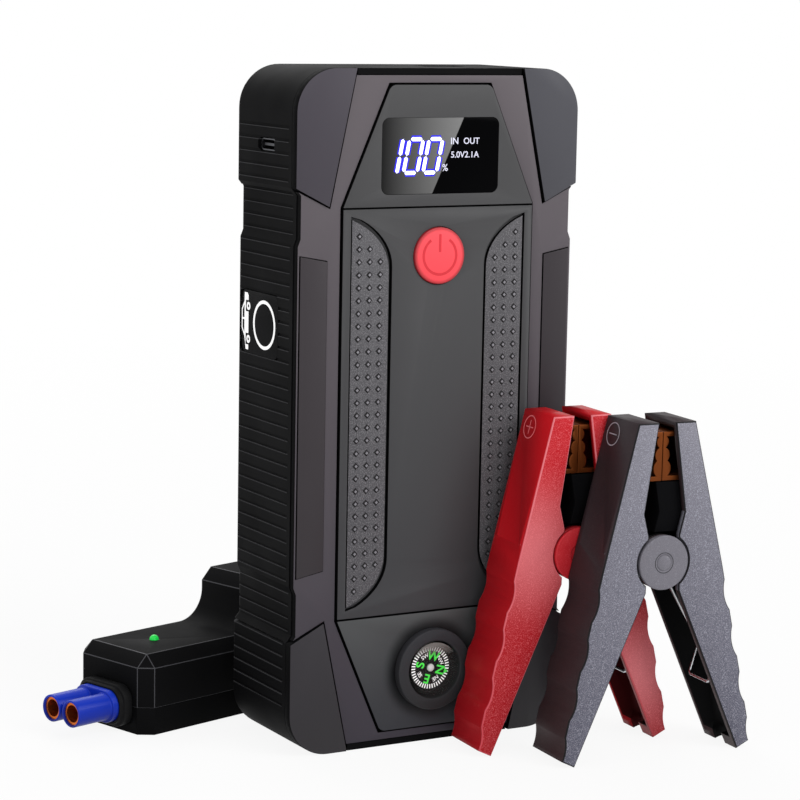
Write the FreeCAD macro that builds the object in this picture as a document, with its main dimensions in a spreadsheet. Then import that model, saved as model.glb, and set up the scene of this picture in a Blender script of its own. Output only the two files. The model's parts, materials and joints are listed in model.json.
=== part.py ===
import FreeCAD, Part
import Sketcher
import math
import os
import re

# Jump starter pack: the power pack standing on its end, two battery clamps
# standing on their handles and the connector module with its two-tube plug.
# Millimetres, +Z up, front face towards -Y, origin at the middle of the pack's base.

os.makedirs("parts", exist_ok=True)
doc = FreeCAD.newDocument("JumpStarterPack")
Vector = FreeCAD.Vector

# Driving dimensions
sizes = {
    "case_wide": 89.0,
    "case_high": 190.0,
    "case_deep": 38.0,
    "corner_radius": 12.0,
    "back_radius": 3.0,
    "face_thick": 3.0,
    "frame_sunk": 0.7,
    "frame_end_inset": 1.9,
    "guard_gap": 0.5,
    "frame_inset": 0.2,
    "front_wall": 2.0,
    "case_wall": 2.3,
    "seam_depth": 24.8,
    "cavity_radius": 9.5,
    "guard_reach": 32.2,
    "waist_step": 1.6,
    "side_step": 0.8,
    "step_bevel": 2.0,
    "side_reach": 48.0,
    "groove_start": 1.8,
    "groove_first": 14.2,
    "groove_pitch": 3.55,
    "groove_high": 0.9,
    "groove_deep": 0.4,
    "small_gap": 0.15,
    "seat_gap": 0.05,
    "panel_gap": 0.5,
    "panel_wide": 60.2,
    "panel_end_wide": 31.8,
    "panel_margin": 4.5,
    "panel_corner": 2.5,
    "top_panel_drop": 37.7,
    "top_panel_low": "=case_high - top_panel_drop",
    "low_panel_high": 37.5,
    "frame_strip": 4.2,
    "guard_inner_x": "=panel_wide / 2 + frame_strip",
    "guard_inner_low": 37.4,
    "guard_top_x": 26.4,
    "inlay_edge": 1.7,
    "inlay_outer_x": "=case_wide / 2 - inlay_edge",
    "inlay_inner_x": "=panel_wide / 2 + frame_strip + inlay_thick / 8",
    "inlay_outer_low": 50.6,
    "inlay_inner_low": 52.2,
    "inlay_thick": 2.0,
    "pad_inner_x": 15.5,
    "pad_outer_x": 27.2,
    "pad_inner_low": 55.0,
    "pad_outer_low": 41.0,
    "pad_thick": 1.5,
    "pad_sunk": 0.3,
    "pad_gap": 0.8,
    "window_wide": 37.0,
    "window_high": 20.9,
    "window_drop": 23.9,
    "window_z": "=case_high - window_drop",
    "window_corner": 2.2,
    "window_thick": 1.2,
    "display_border": 2.2,
    "button_diameter": 15.8,
    "button_drop": 51.5,
    "button_z": "=case_high - button_drop",
    "button_proud": 0.7,
    "button_travel": 0.8,
    "button_flange": 1.0,
    "button_flange_reach": 1.0,
    "stem_diameter": 4.0,
    "stem_long": 0.6,
    "switch_wide": 6.0,
    "compass_z": 21.3,
    "compass_diameter": 23.2,
    "compass_proud": 2.8,
    "compass_spigot": 20.0,
    "compass_bore": 16.5,
    "compass_floor": 1.2,
    "dial_diameter": 12.3,
    "dial_thick": 0.6,
    "dial_height": 2.2,
    "dial_hole": 0.9,
    "pivot_diameter": 0.8,
    "capsule_wall": 0.8,
    "capsule_diameter": 15.4,
    "capsule_sunk": 0.5,
    "board_stand": 1.8,
    "board_thick": 1.6,
    "board_edge": 8.5,
    "board_half_wide": "=case_wide / 2 - board_edge",
    "board_margin": 14.0,
    "boss_diameter": 7.0,
    "boss_edge": 9.5,
    "boss_x": "=case_wide / 2 - boss_edge",
    "boss_z": 9.0,
    "screw_diameter": 2.6,
    "screw_head": 5.0,
    "screw_head_deep": 2.0,
    "screw_sunk": 0.6,
    "battery_from_left": 25.0,
    "battery_left": "=battery_from_left - case_wide / 2",
    "battery_from_right": 6.0,
    "battery_right": "=case_wide / 2 - battery_from_right",
    "battery_low": 44.0,
    "battery_drop": 41.0,
    "battery_high": "=case_high - battery_drop",
    "battery_wall": 1.4,
    "cell_thick": 7.3,
    "cell_gap": 0.3,
    "cell_count": 3.0,
    "cover_drop": 71.4,
    "cover_z": "=case_high - cover_drop",
    "cover_y": 3.8,
    "cover_wide": 22.0,
    "cover_high": 17.6,
    "cover_thick": 1.7,
    "cover_corner": 2.0,
    "cover_rim": 1.2,
    "hinge_radius": 0.8,
    "socket_wide": 19.4,
    "socket_high": 12.0,
    "socket_long": 15.0,
    "socket_flange": 1.6,
    "tube_spacing": 8.6,
    "tube_diameter": 7.8,
    "contact_bore": 5.0,
    "contact_wall": 0.7,
    "pin_sunk": 1.5,
    "pin_root": 2.0,
    "socket_floor": 2.0,
    "port_drop": 21.4,
    "port_z": "=case_high - port_drop",
    "port_board_thick": 1.6,
    "port_board_back": 12.0,
    "usb_c_y": -0.5,
    "usb_c_wide": 9.0,
    "usb_c_high": 3.3,
    "usb_c_long": 8.0,
    "usb_c_corner": 1.5,
    "usb_a_y": -2.6,
    "usb_a_wide": 13.1,
    "usb_a_high": 5.7,
    "usb_a_long": 14.0,
    "usb_a_corner": 0.6,
    "port_metal": 0.35,
    "port_sunk": 0.8,
    "port_margin": 0.5,
    "torch_x": 10.0,
    "torch_wide": 13.0,
    "torch_deep": 7.0,
    "torch_high": 9.0,
    "torch_lens_thick": 1.2,
    "torch_lip": 1.0,
    "clamp_yaw": -4.0,
    "black_x": 49.5,
    "black_y": -53.36,
    "red_x": 34.4,
    "red_y": -33.9,
    "clamp_thick": 17.6,
    "pivot_high": 55.8,
    "clamp_high": 95.0,
    "arm_top_half": 9.1,
    "arm_bend_half": 19.3,
    "arm_bend_down": 2.0,
    "arm_foot_half": 30.9,
    "arm_foot_up": 2.3,
    "arm_wall": 1.8,
    "arm_web": 2.6,
    "jaw_gap_half": 2.6,
    "jaw_throat_half": 6.4,
    "jaw_throat_up": 14.0,
    "jaw_root_half": 4.8,
    "jaw_root_up": 7.6,
    "handle_root_half": 5.2,
    "handle_root_down": 8.4,
    "handle_foot_half": 26.2,
    "scallop_first": 8.5,
    "scallop_pitch": 13.6,
    "scallop_count": 4.0,
    "scallop_radius": 11.0,
    "scallop_deep": 0.7,
    "scallop_lean": 0.224,
    "cap_radius": 7.7,
    "cap_recess": 0.5,
    "cap_proud": 0.4,
    "cap_thick": 1.6,
    "lug_radius": 7.6,
    "lug_thick": 1.1,
    "lug_gap": 0.15,
    "pin_radius": 2.2,
    "pin_clearance": 0.05,
    "jaw_wide": 12.8,
    "bead_one": 1.9,
    "bead_two": 2.3,
    "bead_three": 2.75,
    "bead_pitch": 3.75,
    "bead_neck": 0.9,
    "bead_low": 26.0,
    "jaw_plate": 1.3,
    "bite_gap": 0.2,
    "wire_radius": 0.5,
    "coil_radius": 3.6,
    "coil_pitch": 1.45,
    "coil_turns": 2.0,
    "coil_inner": 0.75,
    "bush_radius": 2.9,
    "bush_half": 4.9,
    "leg_lean": 32.0,
    "leg_long": 35.0,
    "loop_half_wide": 5.4,
    "loop_knee_half": 21.2,
    "loop_knee_down": 27.6,
    "loop_end_half": 18.4,
    "loop_end_down": 36.5,
    "wire_bend": 1.3,
    "module_x": -76.0,
    "module_y": 32.9,
    "module_yaw": 17.0,
    "module_long": 75.0,
    "module_wide": 31.0,
    "module_split": 7.8,
    "module_low_high": 23.0,
    "module_step": 46.0,
    "module_sweep": 9.0,
    "module_high": 38.0,
    "module_chamfer": 3.5,
    "module_brow": 3.6,
    "module_wall": 2.4,
    "lamp_radius": 1.35,
    "lamp_x": 16.7,
    "plug_reach": 18.0,
    "plug_tube": 12.0,
    "plug_wide": 17.6,
    "plug_high": 9.4,
    "plug_root": 4.0,
    "collar_margin": 1.4,
    "collar_sleeve": 0.5,
    "collar_long": 3.0,
    "module_board_z": 4.0,
    "gland_radius": 4.4,
    "gland_bore": 2.6,
    "gland_long": 9.0,
    "gland_z": 24.0,
    "gland_spacing": 10.0,
    "gland_flange": 1.0,
    "module_board_thick": 1.6,
    "module_post_in": 14.0,
    "module_post_y": 7.6,
    "module_screw": 1.1,
    "post_radius": 2.4,
    "relay_long": 18.0,
    "relay_wide": 13.0,
    "relay_high": 12.0,
}
sheet = doc.addObject("Spreadsheet::Sheet", "Sizes")
for row, (alias, number) in enumerate(sizes.items(), start=1):
    sheet.set("A%d" % row, alias)
    sheet.set("B%d" % row, str(number))
    sheet.setAlias("B%d" % row, alias)
doc.recompute()


# Words of a formula that are names in the sheet, bound to their cells
def bound(text):
    return re.sub(r"[a-z][a-z_]*", lambda word: named(word.group()), text)


def named(word):
    return "Sizes." + word if word in sizes else word


def tie(thing, where, text):
    thing.setExpression(where, bound(text))


def value(text):
    return float(sheet.evalExpression(text))


# A block between two faces in each direction
def box(name, x, y, z):
    solid = doc.addObject("Part::Box", name)
    ways = zip(("Length", "Width", "Height"), "xyz", (x, y, z))
    for side, corner, (low, high) in ways:
        tie(solid, side, "(%s) - (%s)" % (high, low))
        tie(solid, "Placement.Base." + corner, low)
    return solid


turned = {
    "x": FreeCAD.Rotation(Vector(0, 1, 0), 90),
    "y": FreeCAD.Rotation(Vector(1, 0, 0), -90),
    "z": FreeCAD.Rotation(),
}


def lay_along(solid, way, centre, low):
    places = dict(zip([corner for corner in "xyz" if corner != way], centre))
    places[way] = low
    solid.Placement = FreeCAD.Placement(Vector(), turned[way])
    for corner, text in places.items():
        tie(solid, "Placement.Base." + corner, text)


# A round bar along one axis; centre gives the two other coordinates in X, Y, Z order
def rod(name, way, radius, centre, low, high):
    solid = doc.addObject("Part::Cylinder", name)
    lay_along(solid, way, centre, low)
    tie(solid, "Radius", radius)
    tie(solid, "Height", "(%s) - (%s)" % (high, low))
    return solid


def cone(name, way, radius_low, radius_high, centre, low, high):
    solid = doc.addObject("Part::Cone", name)
    lay_along(solid, way, centre, low)
    tie(solid, "Radius1", radius_low)
    tie(solid, "Radius2", radius_high)
    tie(solid, "Height", "(%s) - (%s)" % (high, low))
    return solid


def fuse(name, solids):
    whole = doc.addObject("Part::MultiFuse", name)
    whole.Shapes = solids
    return whole


def cut(name, base, tools):
    if len(tools) == 1:
        tool = tools[0]
    else:
        tool = doc.addObject("Part::Compound", name + "_tools")
        tool.Links = tools
    whole = doc.addObject("Part::Cut", name)
    whole.Base = base
    whole.Tool = tool
    return whole


def gather(name, solids):
    whole = doc.addObject("Part::Compound", name)
    whole.Links = solids
    return whole


# A body padded from an outline; the points are formulas in the plane's own two directions
def plate(name, plane, points, low, high):
    body = doc.addObject("PartDesign::Body", name)
    sketch = body.newObject("Sketcher::SketchObject", name + "_outline")
    planes = [feature for feature in body.Origin.OriginFeatures if feature.Role == plane + "_Plane"]
    sketch.AttachmentSupport = (planes[0], [""])
    sketch.MapMode = "FlatFace"
    corners = [Vector(value(across), value(up), 0) for across, up in points]
    count = len(points)
    for index in range(count):
        sketch.addGeometry(Part.LineSegment(corners[index], corners[(index + 1) % count]))
    for index in range(count):
        sketch.addConstraint(Sketcher.Constraint("Coincident", index, 2, (index + 1) % count, 1))
    for index, (across, up) in enumerate(points):
        for kind, text in (("DistanceX", across), ("DistanceY", up)):
            number = sketch.addConstraint(Sketcher.Constraint(kind, -1, 1, index, 1, value(text)))
            tie(sketch, "Constraints[%d]" % number, text)
    # The XZ plane's own normal points to -Y
    start = "-(%s)" % high if plane == "XZ" else low
    tie(sketch, "AttachmentOffset.Base.z", start)
    pad = body.newObject("PartDesign::Pad", name + "_pad")
    pad.Profile = sketch
    tie(pad, "Length", "(%s) - (%s)" % (high, low))
    doc.recompute()
    return body


# Rounds or chamfers those edges of a body that a test picks
def ease(body, radius, wanted, kind="Fillet"):
    base = body.Tip
    names = ["Edge%d" % (index + 1) for index, edge in enumerate(base.Shape.Edges) if wanted(edge)]
    eased = body.newObject("PartDesign::" + kind, "%s_%s%d" % (body.Name, kind.lower(), len(body.Group)))
    eased.Base = (base, names)
    tie(eased, "Radius" if kind == "Fillet" else "Size", radius)
    body.Tip = eased
    doc.recompute()
    return body


def runs_along(edge, way):
    box_of_edge = edge.BoundBox
    lengths = {"x": box_of_edge.XLength, "y": box_of_edge.YLength, "z": box_of_edge.ZLength}
    return lengths[way] > 0.01 and all(lengths[other] < 1e-6 for other in lengths if other != way)


def near(number, target):
    return abs(number - target) < 0.01


# All parallel corners of a block
def rounded_box(name, plane, x_or_y, up, low, high, radius):
    (left, right), (bottom, top) = x_or_y, up
    points = [(left, bottom), (right, bottom), (right, top), (left, top)]
    body = plate(name, plane, points, low, high)
    way = {"XZ": "y", "XY": "z", "YZ": "x"}[plane]
    return ease(body, radius, lambda edge: runs_along(edge, way))


# Turns a half outline into a whole one, mirrored about the middle line
def mirrored(points):
    other = [("-(%s)" % across, up) for across, up in reversed(points)]
    return points + other


parts = []


def keep(label, thing):
    thing.Label = label
    parts.append(thing)
    return thing


# Depths, all counted from the front face
front = "-case_deep / 2"
back = "case_deep / 2"
panel_back = "(%s + face_thick)" % front
wall_back = "(%s + face_thick + front_wall)" % front
seam = "(%s + seam_depth)" % front
board_front = "(%s + face_thick + front_wall + board_stand)" % front
board_back = "(%s + face_thick + front_wall + board_stand + board_thick)" % front
half = "case_wide / 2"
inner_half = "(case_wide / 2 - waist_step - case_wall)"


# Case outline
# Wide at the corner guards, waisted beside them and a little wider again along the sides
def case_outline(inset):
    edge = "%s - %s" % (half, inset)
    waist = "%s - waist_step - %s" % (half, inset)
    side = "%s - side_step - %s" % (half, inset)
    low = [
        (edge, inset),
        (edge, "guard_reach"),
        (waist, "guard_reach + step_bevel"),
        (waist, "side_reach - step_bevel"),
        (side, "side_reach"),
    ]
    high = [(across, "case_high - (%s)" % up) for across, up in reversed(low)]
    return mirrored(low + high)


def corner_edges(inset):
    reach = value("%s - %s" % (half, inset))
    heights = (value(inset), value("case_high - (%s)" % inset))

    def is_corner(edge):
        middle = edge.CenterOfMass
        at_height = near(middle.z, heights[0]) or near(middle.z, heights[1])
        return runs_along(edge, "y") and near(abs(middle.x), reach) and at_height

    return is_corner


def cavity(name, low, high):
    return rounded_box(name, "XZ", ("-" + inner_half, inner_half), ("case_wall", "case_high - case_wall"),
                       low, high, "cavity_radius")


# Grip grooves across both side walls, each cut to the depth of the surface it crosses
def side_grooves(name, low, high):
    count = int((value("case_high") - 2 * value("groove_first")) / value("groove_pitch")) + 1
    tools = []
    for index in range(count):
        up = "groove_first + %d * groove_pitch" % index
        height = value(up)
        from_end = min(height, value("case_high") - height)
        if from_end < value("guard_reach - groove_high"):
            surface = half
        elif from_end < value("side_reach - step_bevel"):
            surface = half + " - waist_step"
        else:
            surface = half + " - side_step"
        floor = "%s - groove_deep" % surface
        for side in ("left", "right"):
            span = (floor, half + " + groove_deep")
            if side == "left":
                span = ("-(%s)" % span[1], "-(%s)" % span[0])
            tools.append(box("%s_%s_%d" % (name, side, index), span, (low, high),
                             ("%s - groove_high / 2" % up, "%s + groove_high / 2" % up)))
    return tools


# Jump socket opening, cut through the left wall across the seam
socket_mouth = "(-(case_wide / 2 - side_step - cover_thick - cover_rim / 4))"
cover_low = "(cover_y - cover_wide / 2)"
cover_high_y = "(cover_y + cover_wide / 2)"


def socket_cuts(name):
    recess = rounded_box(name + "_recess", "YZ",
                         (cover_low + " - small_gap", cover_high_y + " + small_gap + 2 * hinge_radius"),
                         ("cover_z - cover_high / 2 - small_gap", "cover_z + cover_high / 2 + small_gap"),
                         "-case_wide", socket_mouth, "cover_corner")
    hole = box(name + "_hole", ("-case_wide", "-%s + case_wall" % inner_half),
               ("cover_y - socket_wide / 2 - small_gap", "cover_y + socket_wide / 2 + small_gap"),
               ("cover_z - socket_high / 2 - small_gap", "cover_z + socket_high / 2 + small_gap"))
    return [recess, hole]


def screw_places():
    return [(x, z) for x in ("-boss_x", "boss_x") for z in ("boss_z", "case_high - boss_z")]


# Front shell
def front_shell():
    shell = plate("front_outline", "XZ", case_outline("0"), panel_back, seam)
    ease(shell, "corner_radius", corner_edges("0"))
    hollow = cavity("front_hollow", wall_back, seam + " + 1")
    tools = [hollow]
    tools.append(rod("button_well", "y", "button_diameter / 2 + button_flange_reach + 2 * small_gap",
                     ("0", "button_z"), panel_back + " - 1", wall_back + " + 1"))
    tools.append(rod("compass_well", "y", "compass_spigot / 2 + small_gap",
                     ("0", "compass_z"), panel_back + " - 1", wall_back + " + 1"))
    tools.append(box("display_well", ("-window_wide / 2 + display_border - small_gap",
                                      "window_wide / 2 - display_border + small_gap"),
                     (panel_back + " - 1", wall_back + " + 1"),
                     ("window_z - window_high / 2 + display_border - small_gap",
                      "window_z + window_high / 2 - display_border + small_gap")))
    tools.append(rounded_box("usb_c_hole", "YZ",
                             ("usb_c_y - usb_c_wide / 2 - port_margin", "usb_c_y + usb_c_wide / 2 + port_margin"),
                             ("port_z - usb_c_high / 2 - port_margin / 2",
                              "port_z + usb_c_high / 2 + port_margin / 2"),
                             "-case_wide", "-%s + 1" % inner_half, "usb_c_corner"))
    tools.append(box("usb_a_hole", (inner_half + " - 1", "case_wide"),
                     ("usb_a_y - usb_a_wide / 2 - port_margin", "usb_a_y + usb_a_wide / 2 + port_margin"),
                     ("port_z - usb_c_high / 2 - port_margin",
                      "port_z - usb_c_high / 2 + usb_a_high + port_margin")))
    tools.append(box("torch_hole", ("torch_x - torch_wide / 2 - small_gap", "torch_x + torch_wide / 2 + small_gap"),
                     ("-torch_deep / 2 - small_gap", "torch_deep / 2 + small_gap"),
                     ("case_high - case_wall - 1", "case_high + 1")))
    tools += socket_cuts("front_socket")
    tools += side_grooves("front_groove", panel_back + " + groove_start", seam + " + 1")
    skin = cut("front_skin", shell, tools)
    bosses = []
    for index, (x, z) in enumerate(screw_places()):
        bosses.append(rod("front_boss_%d" % index, "y", "boss_diameter / 2", (x, z),
                          wall_back + " - front_wall / 2", seam))
    for index, (x, z) in enumerate(board_posts()):
        bosses.append(rod("board_post_%d" % index, "y", "boss_diameter / 3", (x, z),
                          wall_back + " - front_wall / 2", board_front + " - seat_gap"))
        bosses.append(rod("board_peg_%d" % index, "y", "screw_diameter / 2 - small_gap", (x, z),
                          board_front + " - 1", board_back + " + 0.6"))
    lips = []
    for word, span in (("top", ("case_high - frame_end_inset + small_gap", "case_high")),
                       ("foot", ("0", "frame_end_inset - small_gap"))):
        lips.append(box("shell_lip_" + word, ("guard_gap - guard_top_x", "guard_top_x - guard_gap"),
                        (front + " + frame_sunk", panel_back + " + front_wall / 2"), span))
    whole = fuse("front_whole", [skin] + bosses + lips)
    holes = []
    for index, (x, z) in enumerate(screw_places()):
        holes.append(rod("front_tap_%d" % index, "y", "screw_diameter / 2", (x, z), wall_back, seam + " + 1"))
    return cut("front_shell", whole, holes)


def board_posts():
    x_places = ("-board_half_wide + boss_diameter / 2", "board_half_wide - boss_diameter / 2")
    z_places = ("board_margin + boss_diameter / 2", "case_high - board_margin - boss_diameter / 2")
    return [(x, z) for x in x_places for z in z_places]


# Rear shell
def rear_shell():
    shell = plate("rear_outline", "XZ", case_outline("0"), seam, back)
    ease(shell, "corner_radius", corner_edges("0"))
    ease(shell, "back_radius", lambda edge: near(edge.BoundBox.YMin, value(back)))
    hollow = cavity("rear_hollow", seam + " - 1", back + " - case_wall")
    tools = [hollow] + socket_cuts("rear_socket") + side_grooves("rear_groove", seam + " - 1", back + " + 1")
    skin = cut("rear_skin", shell, tools)
    bosses = []
    for index, (x, z) in enumerate(screw_places()):
        bosses.append(rod("rear_boss_%d" % index, "y", "boss_diameter / 2", (x, z),
                          seam, back + " - case_wall / 2"))
    whole = fuse("rear_whole", [skin] + bosses)
    holes = []
    for index, (x, z) in enumerate(screw_places()):
        holes.append(rod("rear_screw_hole_%d" % index, "y", "screw_diameter / 2 + small_gap", (x, z),
                         seam + " - 1", back + " + 1"))
        holes.append(rod("rear_screw_seat_%d" % index, "y", "screw_head / 2 + small_gap", (x, z),
                         back + " - screw_head_deep - screw_sunk", back + " + 1"))
    return cut("rear_shell", whole, holes)


def housing_screws():
    screws = []
    for index, (x, z) in enumerate(screw_places()):
        seat = back + " - screw_head_deep - screw_sunk"
        shank = rod("screw_shank_%d" % index, "y", "screw_diameter / 2 - seat_gap", (x, z),
                    seam + " - face_thick * 3", seat + " + 0.5")
        head = rod("screw_head_%d" % index, "y", "screw_head / 2", (x, z), seat, back + " - screw_sunk")
        socket = rod("screw_socket_%d" % index, "y", "screw_head / 4", (x, z),
                     seat + " + screw_head_deep / 2", back)
        screws.append(cut("screw_%d" % index, fuse("screw_solid_%d" % index, [shank, head]), [socket]))
    return gather("housing_screws", screws)


# Front face: frame, corner guards, panels and inlays
def octagon(grow):
    wide = "panel_wide / 2 + %s" % grow
    end = "panel_end_wide / 2 + %s / 2" % grow
    points = [
        (end, "panel_margin - %s" % grow),
        (wide, "low_panel_high"),
        (wide, "top_panel_low"),
        (end, "case_high - panel_margin + %s" % grow),
    ]
    return mirrored(points)


guard_corners = {
    "top_left": (-1, 1),
    "top_right": (1, 1),
    "bottom_left": (-1, -1),
    "bottom_right": (1, -1),
}


# The guard's three straight sides meet the case's round corner
def guard_outline(side, end, grow, outer):
    top_lean = "(guard_inner_x - guard_top_x) / guard_inner_low"
    side_lean = "(guard_inner_low - guard_reach) / (case_wide / 2 - guard_inner_x)"
    points = [
        ("guard_top_x - %s - %s * %s" % (grow, outer, top_lean), "case_high + %s" % outer),
        ("guard_inner_x - %s" % grow, "case_high - guard_inner_low - %s" % grow),
        ("case_wide / 2 + %s" % outer, "case_high - guard_reach - %s + %s * %s" % (grow, outer, side_lean)),
        ("case_wide / 2 + %s" % outer, "case_high + %s" % outer),
    ]
    if end < 0:
        points = [(across, "case_high - (%s)" % up) for across, up in points]
    if side < 0:
        points = [("-(%s)" % across, up) for across, up in points]
    return points


def corner_guard(name):
    side, end = guard_corners[name]
    guard = plate("guard_" + name, "XZ", guard_outline(side, end, "0", "0"), front, panel_back + " - seat_gap")
    corner_z = value("case_high") if end > 0 else 0.0

    def is_corner(edge):
        middle = edge.CenterOfMass
        return runs_along(edge, "y") and near(middle.x, side * value(half)) and near(middle.z, corner_z)

    return ease(guard, "corner_radius", is_corner)


def inlay_outline(side, grow):
    low = [
        ("inlay_inner_x - %s" % grow, "inlay_inner_low - %s" % grow),
        ("inlay_outer_x + %s" % grow, "inlay_outer_low - %s" % grow),
    ]
    points = low + [(across, "case_high - (%s)" % up) for across, up in reversed(low)]
    if side < 0:
        points = [("-(%s)" % across, up) for across, up in points]
    return points


def face_frame():
    frame = plate("frame_outline", "XZ", case_outline("frame_inset"), front + " + frame_sunk",
                  panel_back + " - seat_gap")
    ease(frame, "corner_radius", corner_edges("frame_inset"))
    tools = [plate("frame_window", "XZ", octagon("panel_gap"), front, panel_back + " + 1")]
    for name, (side, end) in guard_corners.items():
        tools.append(plate("frame_notch_" + name, "XZ", guard_outline(side, end, "guard_gap", "1"),
                           front, panel_back + " + 1"))
    for word, span in (("top", ("case_high - frame_end_inset", "case_high + 1")), ("foot", ("-1", "frame_end_inset"))):
        tools.append(box("frame_trim_" + word, ("-case_wide", "case_wide"), (front, panel_back + " + 1"), span))
    for side, word in ((-1, "left"), (1, "right")):
        tools.append(plate("frame_pocket_" + word, "XZ", inlay_outline(side, "small_gap"),
                           front, front + " + inlay_thick + seat_gap"))
    return cut("face_frame", frame, tools)


def side_inlay(word, side):
    return plate("inlay_" + word, "XZ", inlay_outline(side, "0"), front + " + frame_sunk / 2",
                 front + " + inlay_thick")


def display_panel():
    points = mirrored([
        ("panel_wide / 2", "top_panel_low"),
        ("panel_end_wide / 2", "case_high - panel_margin"),
    ])
    panel = plate("display_panel_outline", "XZ", points, front, panel_back + " - seat_gap")
    top = value("case_high - panel_margin")
    ease(panel, "panel_corner", lambda edge: runs_along(edge, "y") and near(edge.CenterOfMass.z, top))
    window = rounded_box("window_seat", "XZ", ("-window_wide / 2 - seat_gap", "window_wide / 2 + seat_gap"),
                         ("window_z - window_high / 2 - seat_gap", "window_z + window_high / 2 + seat_gap"),
                         front + " - 1", front + " + window_thick + seat_gap", "window_corner")
    well = box("display_panel_well", ("-window_wide / 2 + display_border - small_gap",
                                      "window_wide / 2 - display_border + small_gap"),
               (front, panel_back),
               ("window_z - window_high / 2 + display_border - small_gap",
                "window_z + window_high / 2 - display_border + small_gap"))
    return cut("display_panel", panel, [window, well])


def display_window():
    return rounded_box("display_window_solid", "XZ", ("-window_wide / 2", "window_wide / 2"),
                       ("window_z - window_high / 2", "window_z + window_high / 2"),
                       front, front + " + window_thick", "window_corner")


def display_module():
    return box("display_module", ("-window_wide / 2 + display_border", "window_wide / 2 - display_border"),
               (front + " + window_thick + 2 * seat_gap", board_front + " - seat_gap"),
               ("window_z - window_high / 2 + display_border", "window_z + window_high / 2 - display_border"))


# Pad outline with a curved shoulder at each end, in short straight runs
def pad_outline(side, grow):
    low = []
    for step in range(10):
        turn = math.radians(6 * step)
        across = "(pad_outer_x - pad_inner_x) * %.5f" % ((1 - math.cos(turn)) * 2)
        down = "(pad_inner_low - pad_outer_low) * %.5f" % (math.sin(turn) / math.sin(math.radians(60)))
        low.append(("pad_inner_x - %s + %s" % (grow, across), "pad_inner_low - %s - %s" % (grow, down)))
    low.append(("pad_outer_x + %s / 2" % grow, "pad_outer_low - %s" % grow))
    points = low + [(across, "case_high - (%s)" % up) for across, up in reversed(low)]
    if side < 0:
        points = [("-(%s)" % across, up) for across, up in points]
    return points


def centre_panel():
    low = "low_panel_high + panel_gap"
    high = "top_panel_low - panel_gap"
    points = mirrored([("panel_wide / 2", low), ("panel_wide / 2", high)])
    panel = plate("centre_panel_outline", "XZ", points, front, panel_back + " - seat_gap")
    tools = []
    for side, word in ((-1, "left"), (1, "right")):
        tools.append(plate("pad_pocket_" + word, "XZ", pad_outline(side, "pad_gap"),
                           front + " - 1", front + " + pad_thick"))
    tools.append(rod("button_hole", "y", "button_diameter / 2 + small_gap", ("0", "button_z"),
                     front + " - 1", panel_back + " + 1"))
    return cut("centre_panel", panel, tools)


def grip_pad(word, side):
    return plate("pad_" + word, "XZ", pad_outline(side, "0"), front + " + pad_sunk",
                 front + " + pad_thick - seat_gap")


def compass_panel():
    points = mirrored([
        ("panel_end_wide / 2", "panel_margin"),
        ("panel_wide / 2", "low_panel_high"),
    ])
    panel = plate("compass_panel_outline", "XZ", points, front, panel_back + " - seat_gap")
    low = value("panel_margin")
    ease(panel, "panel_corner", lambda edge: runs_along(edge, "y") and near(edge.CenterOfMass.z, low))
    hole = rod("compass_hole", "y", "compass_spigot / 2 + small_gap", ("0", "compass_z"),
               front + " - 1", panel_back + " + 1")
    return cut("compass_panel", panel, [hole])


# Power button, pushed in towards +Y against the switch on the board
def power_button():
    centre = ("0", "button_z")
    cap = rod("button_cap", "y", "button_diameter / 2", centre, front + " - button_proud",
              panel_back + " + small_gap")
    flange = rod("button_rim", "y", "button_diameter / 2 + button_flange_reach", centre,
                 panel_back + " + small_gap", panel_back + " + small_gap + button_flange")
    stem = rod("button_stem", "y", "stem_diameter / 2", centre, panel_back + " + small_gap + button_flange",
               panel_back + " + small_gap + button_flange + stem_long")
    return fuse("power_button", [cap, flange, stem])


def power_switch():
    reach = "switch_wide / 2"
    top = "(%s + small_gap + button_flange + stem_long + button_travel + small_gap)" % panel_back
    body = box("switch_body", ("-" + reach, reach), (top + " + 0.4", board_front + " - seat_gap"),
               ("button_z - " + reach, "button_z + " + reach))
    plunger = rod("switch_plunger", "y", "stem_diameter / 2", ("0", "button_z"), top, board_front + " - 0.2")
    return fuse("power_switch", [body, plunger])


# Compass: housing set in the panel, brass pivot, floating dial and clear capsule
compass_front = "(%s - compass_proud)" % front
compass_back = "(%s + face_thick + front_wall / 2)" % front
compass_bed = "(%s + face_thick + front_wall / 2 - compass_floor)" % front


def compass_housing():
    centre = ("0", "compass_z")
    boss = rod("compass_boss", "y", "compass_diameter / 2", centre, compass_front, front + " - seat_gap")
    spigot = rod("compass_stub", "y", "compass_spigot / 2", centre, front + " - seat_gap * 2", compass_back)
    bore = rod("compass_bore_cut", "y", "compass_bore / 2", centre, compass_front + " - 1", compass_bed)
    post = rod("compass_post_hole", "y", "pivot_diameter / 2", centre, compass_bed + " - 1", compass_back + " + 1")
    return cut("compass_housing", fuse("compass_solid", [boss, spigot]), [bore, post])


def compass_pivot():
    centre = ("0", "compass_z")
    shank = rod("pivot_shank", "y", "pivot_diameter / 2", centre,
                compass_bed + " - dial_height - dial_thick - 0.3", compass_back)
    shoulder = rod("pivot_shoulder", "y", "pivot_diameter", centre, compass_bed + " - dial_height + 0.1",
                   compass_bed)
    head = cone("pivot_head", "y", "pivot_diameter / 2", "pivot_diameter", centre,
                compass_bed + " - dial_height - dial_thick - 0.9",
                compass_bed + " - dial_height - dial_thick - 0.2")
    return fuse("compass_pivot", [shank, shoulder, head])


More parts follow.
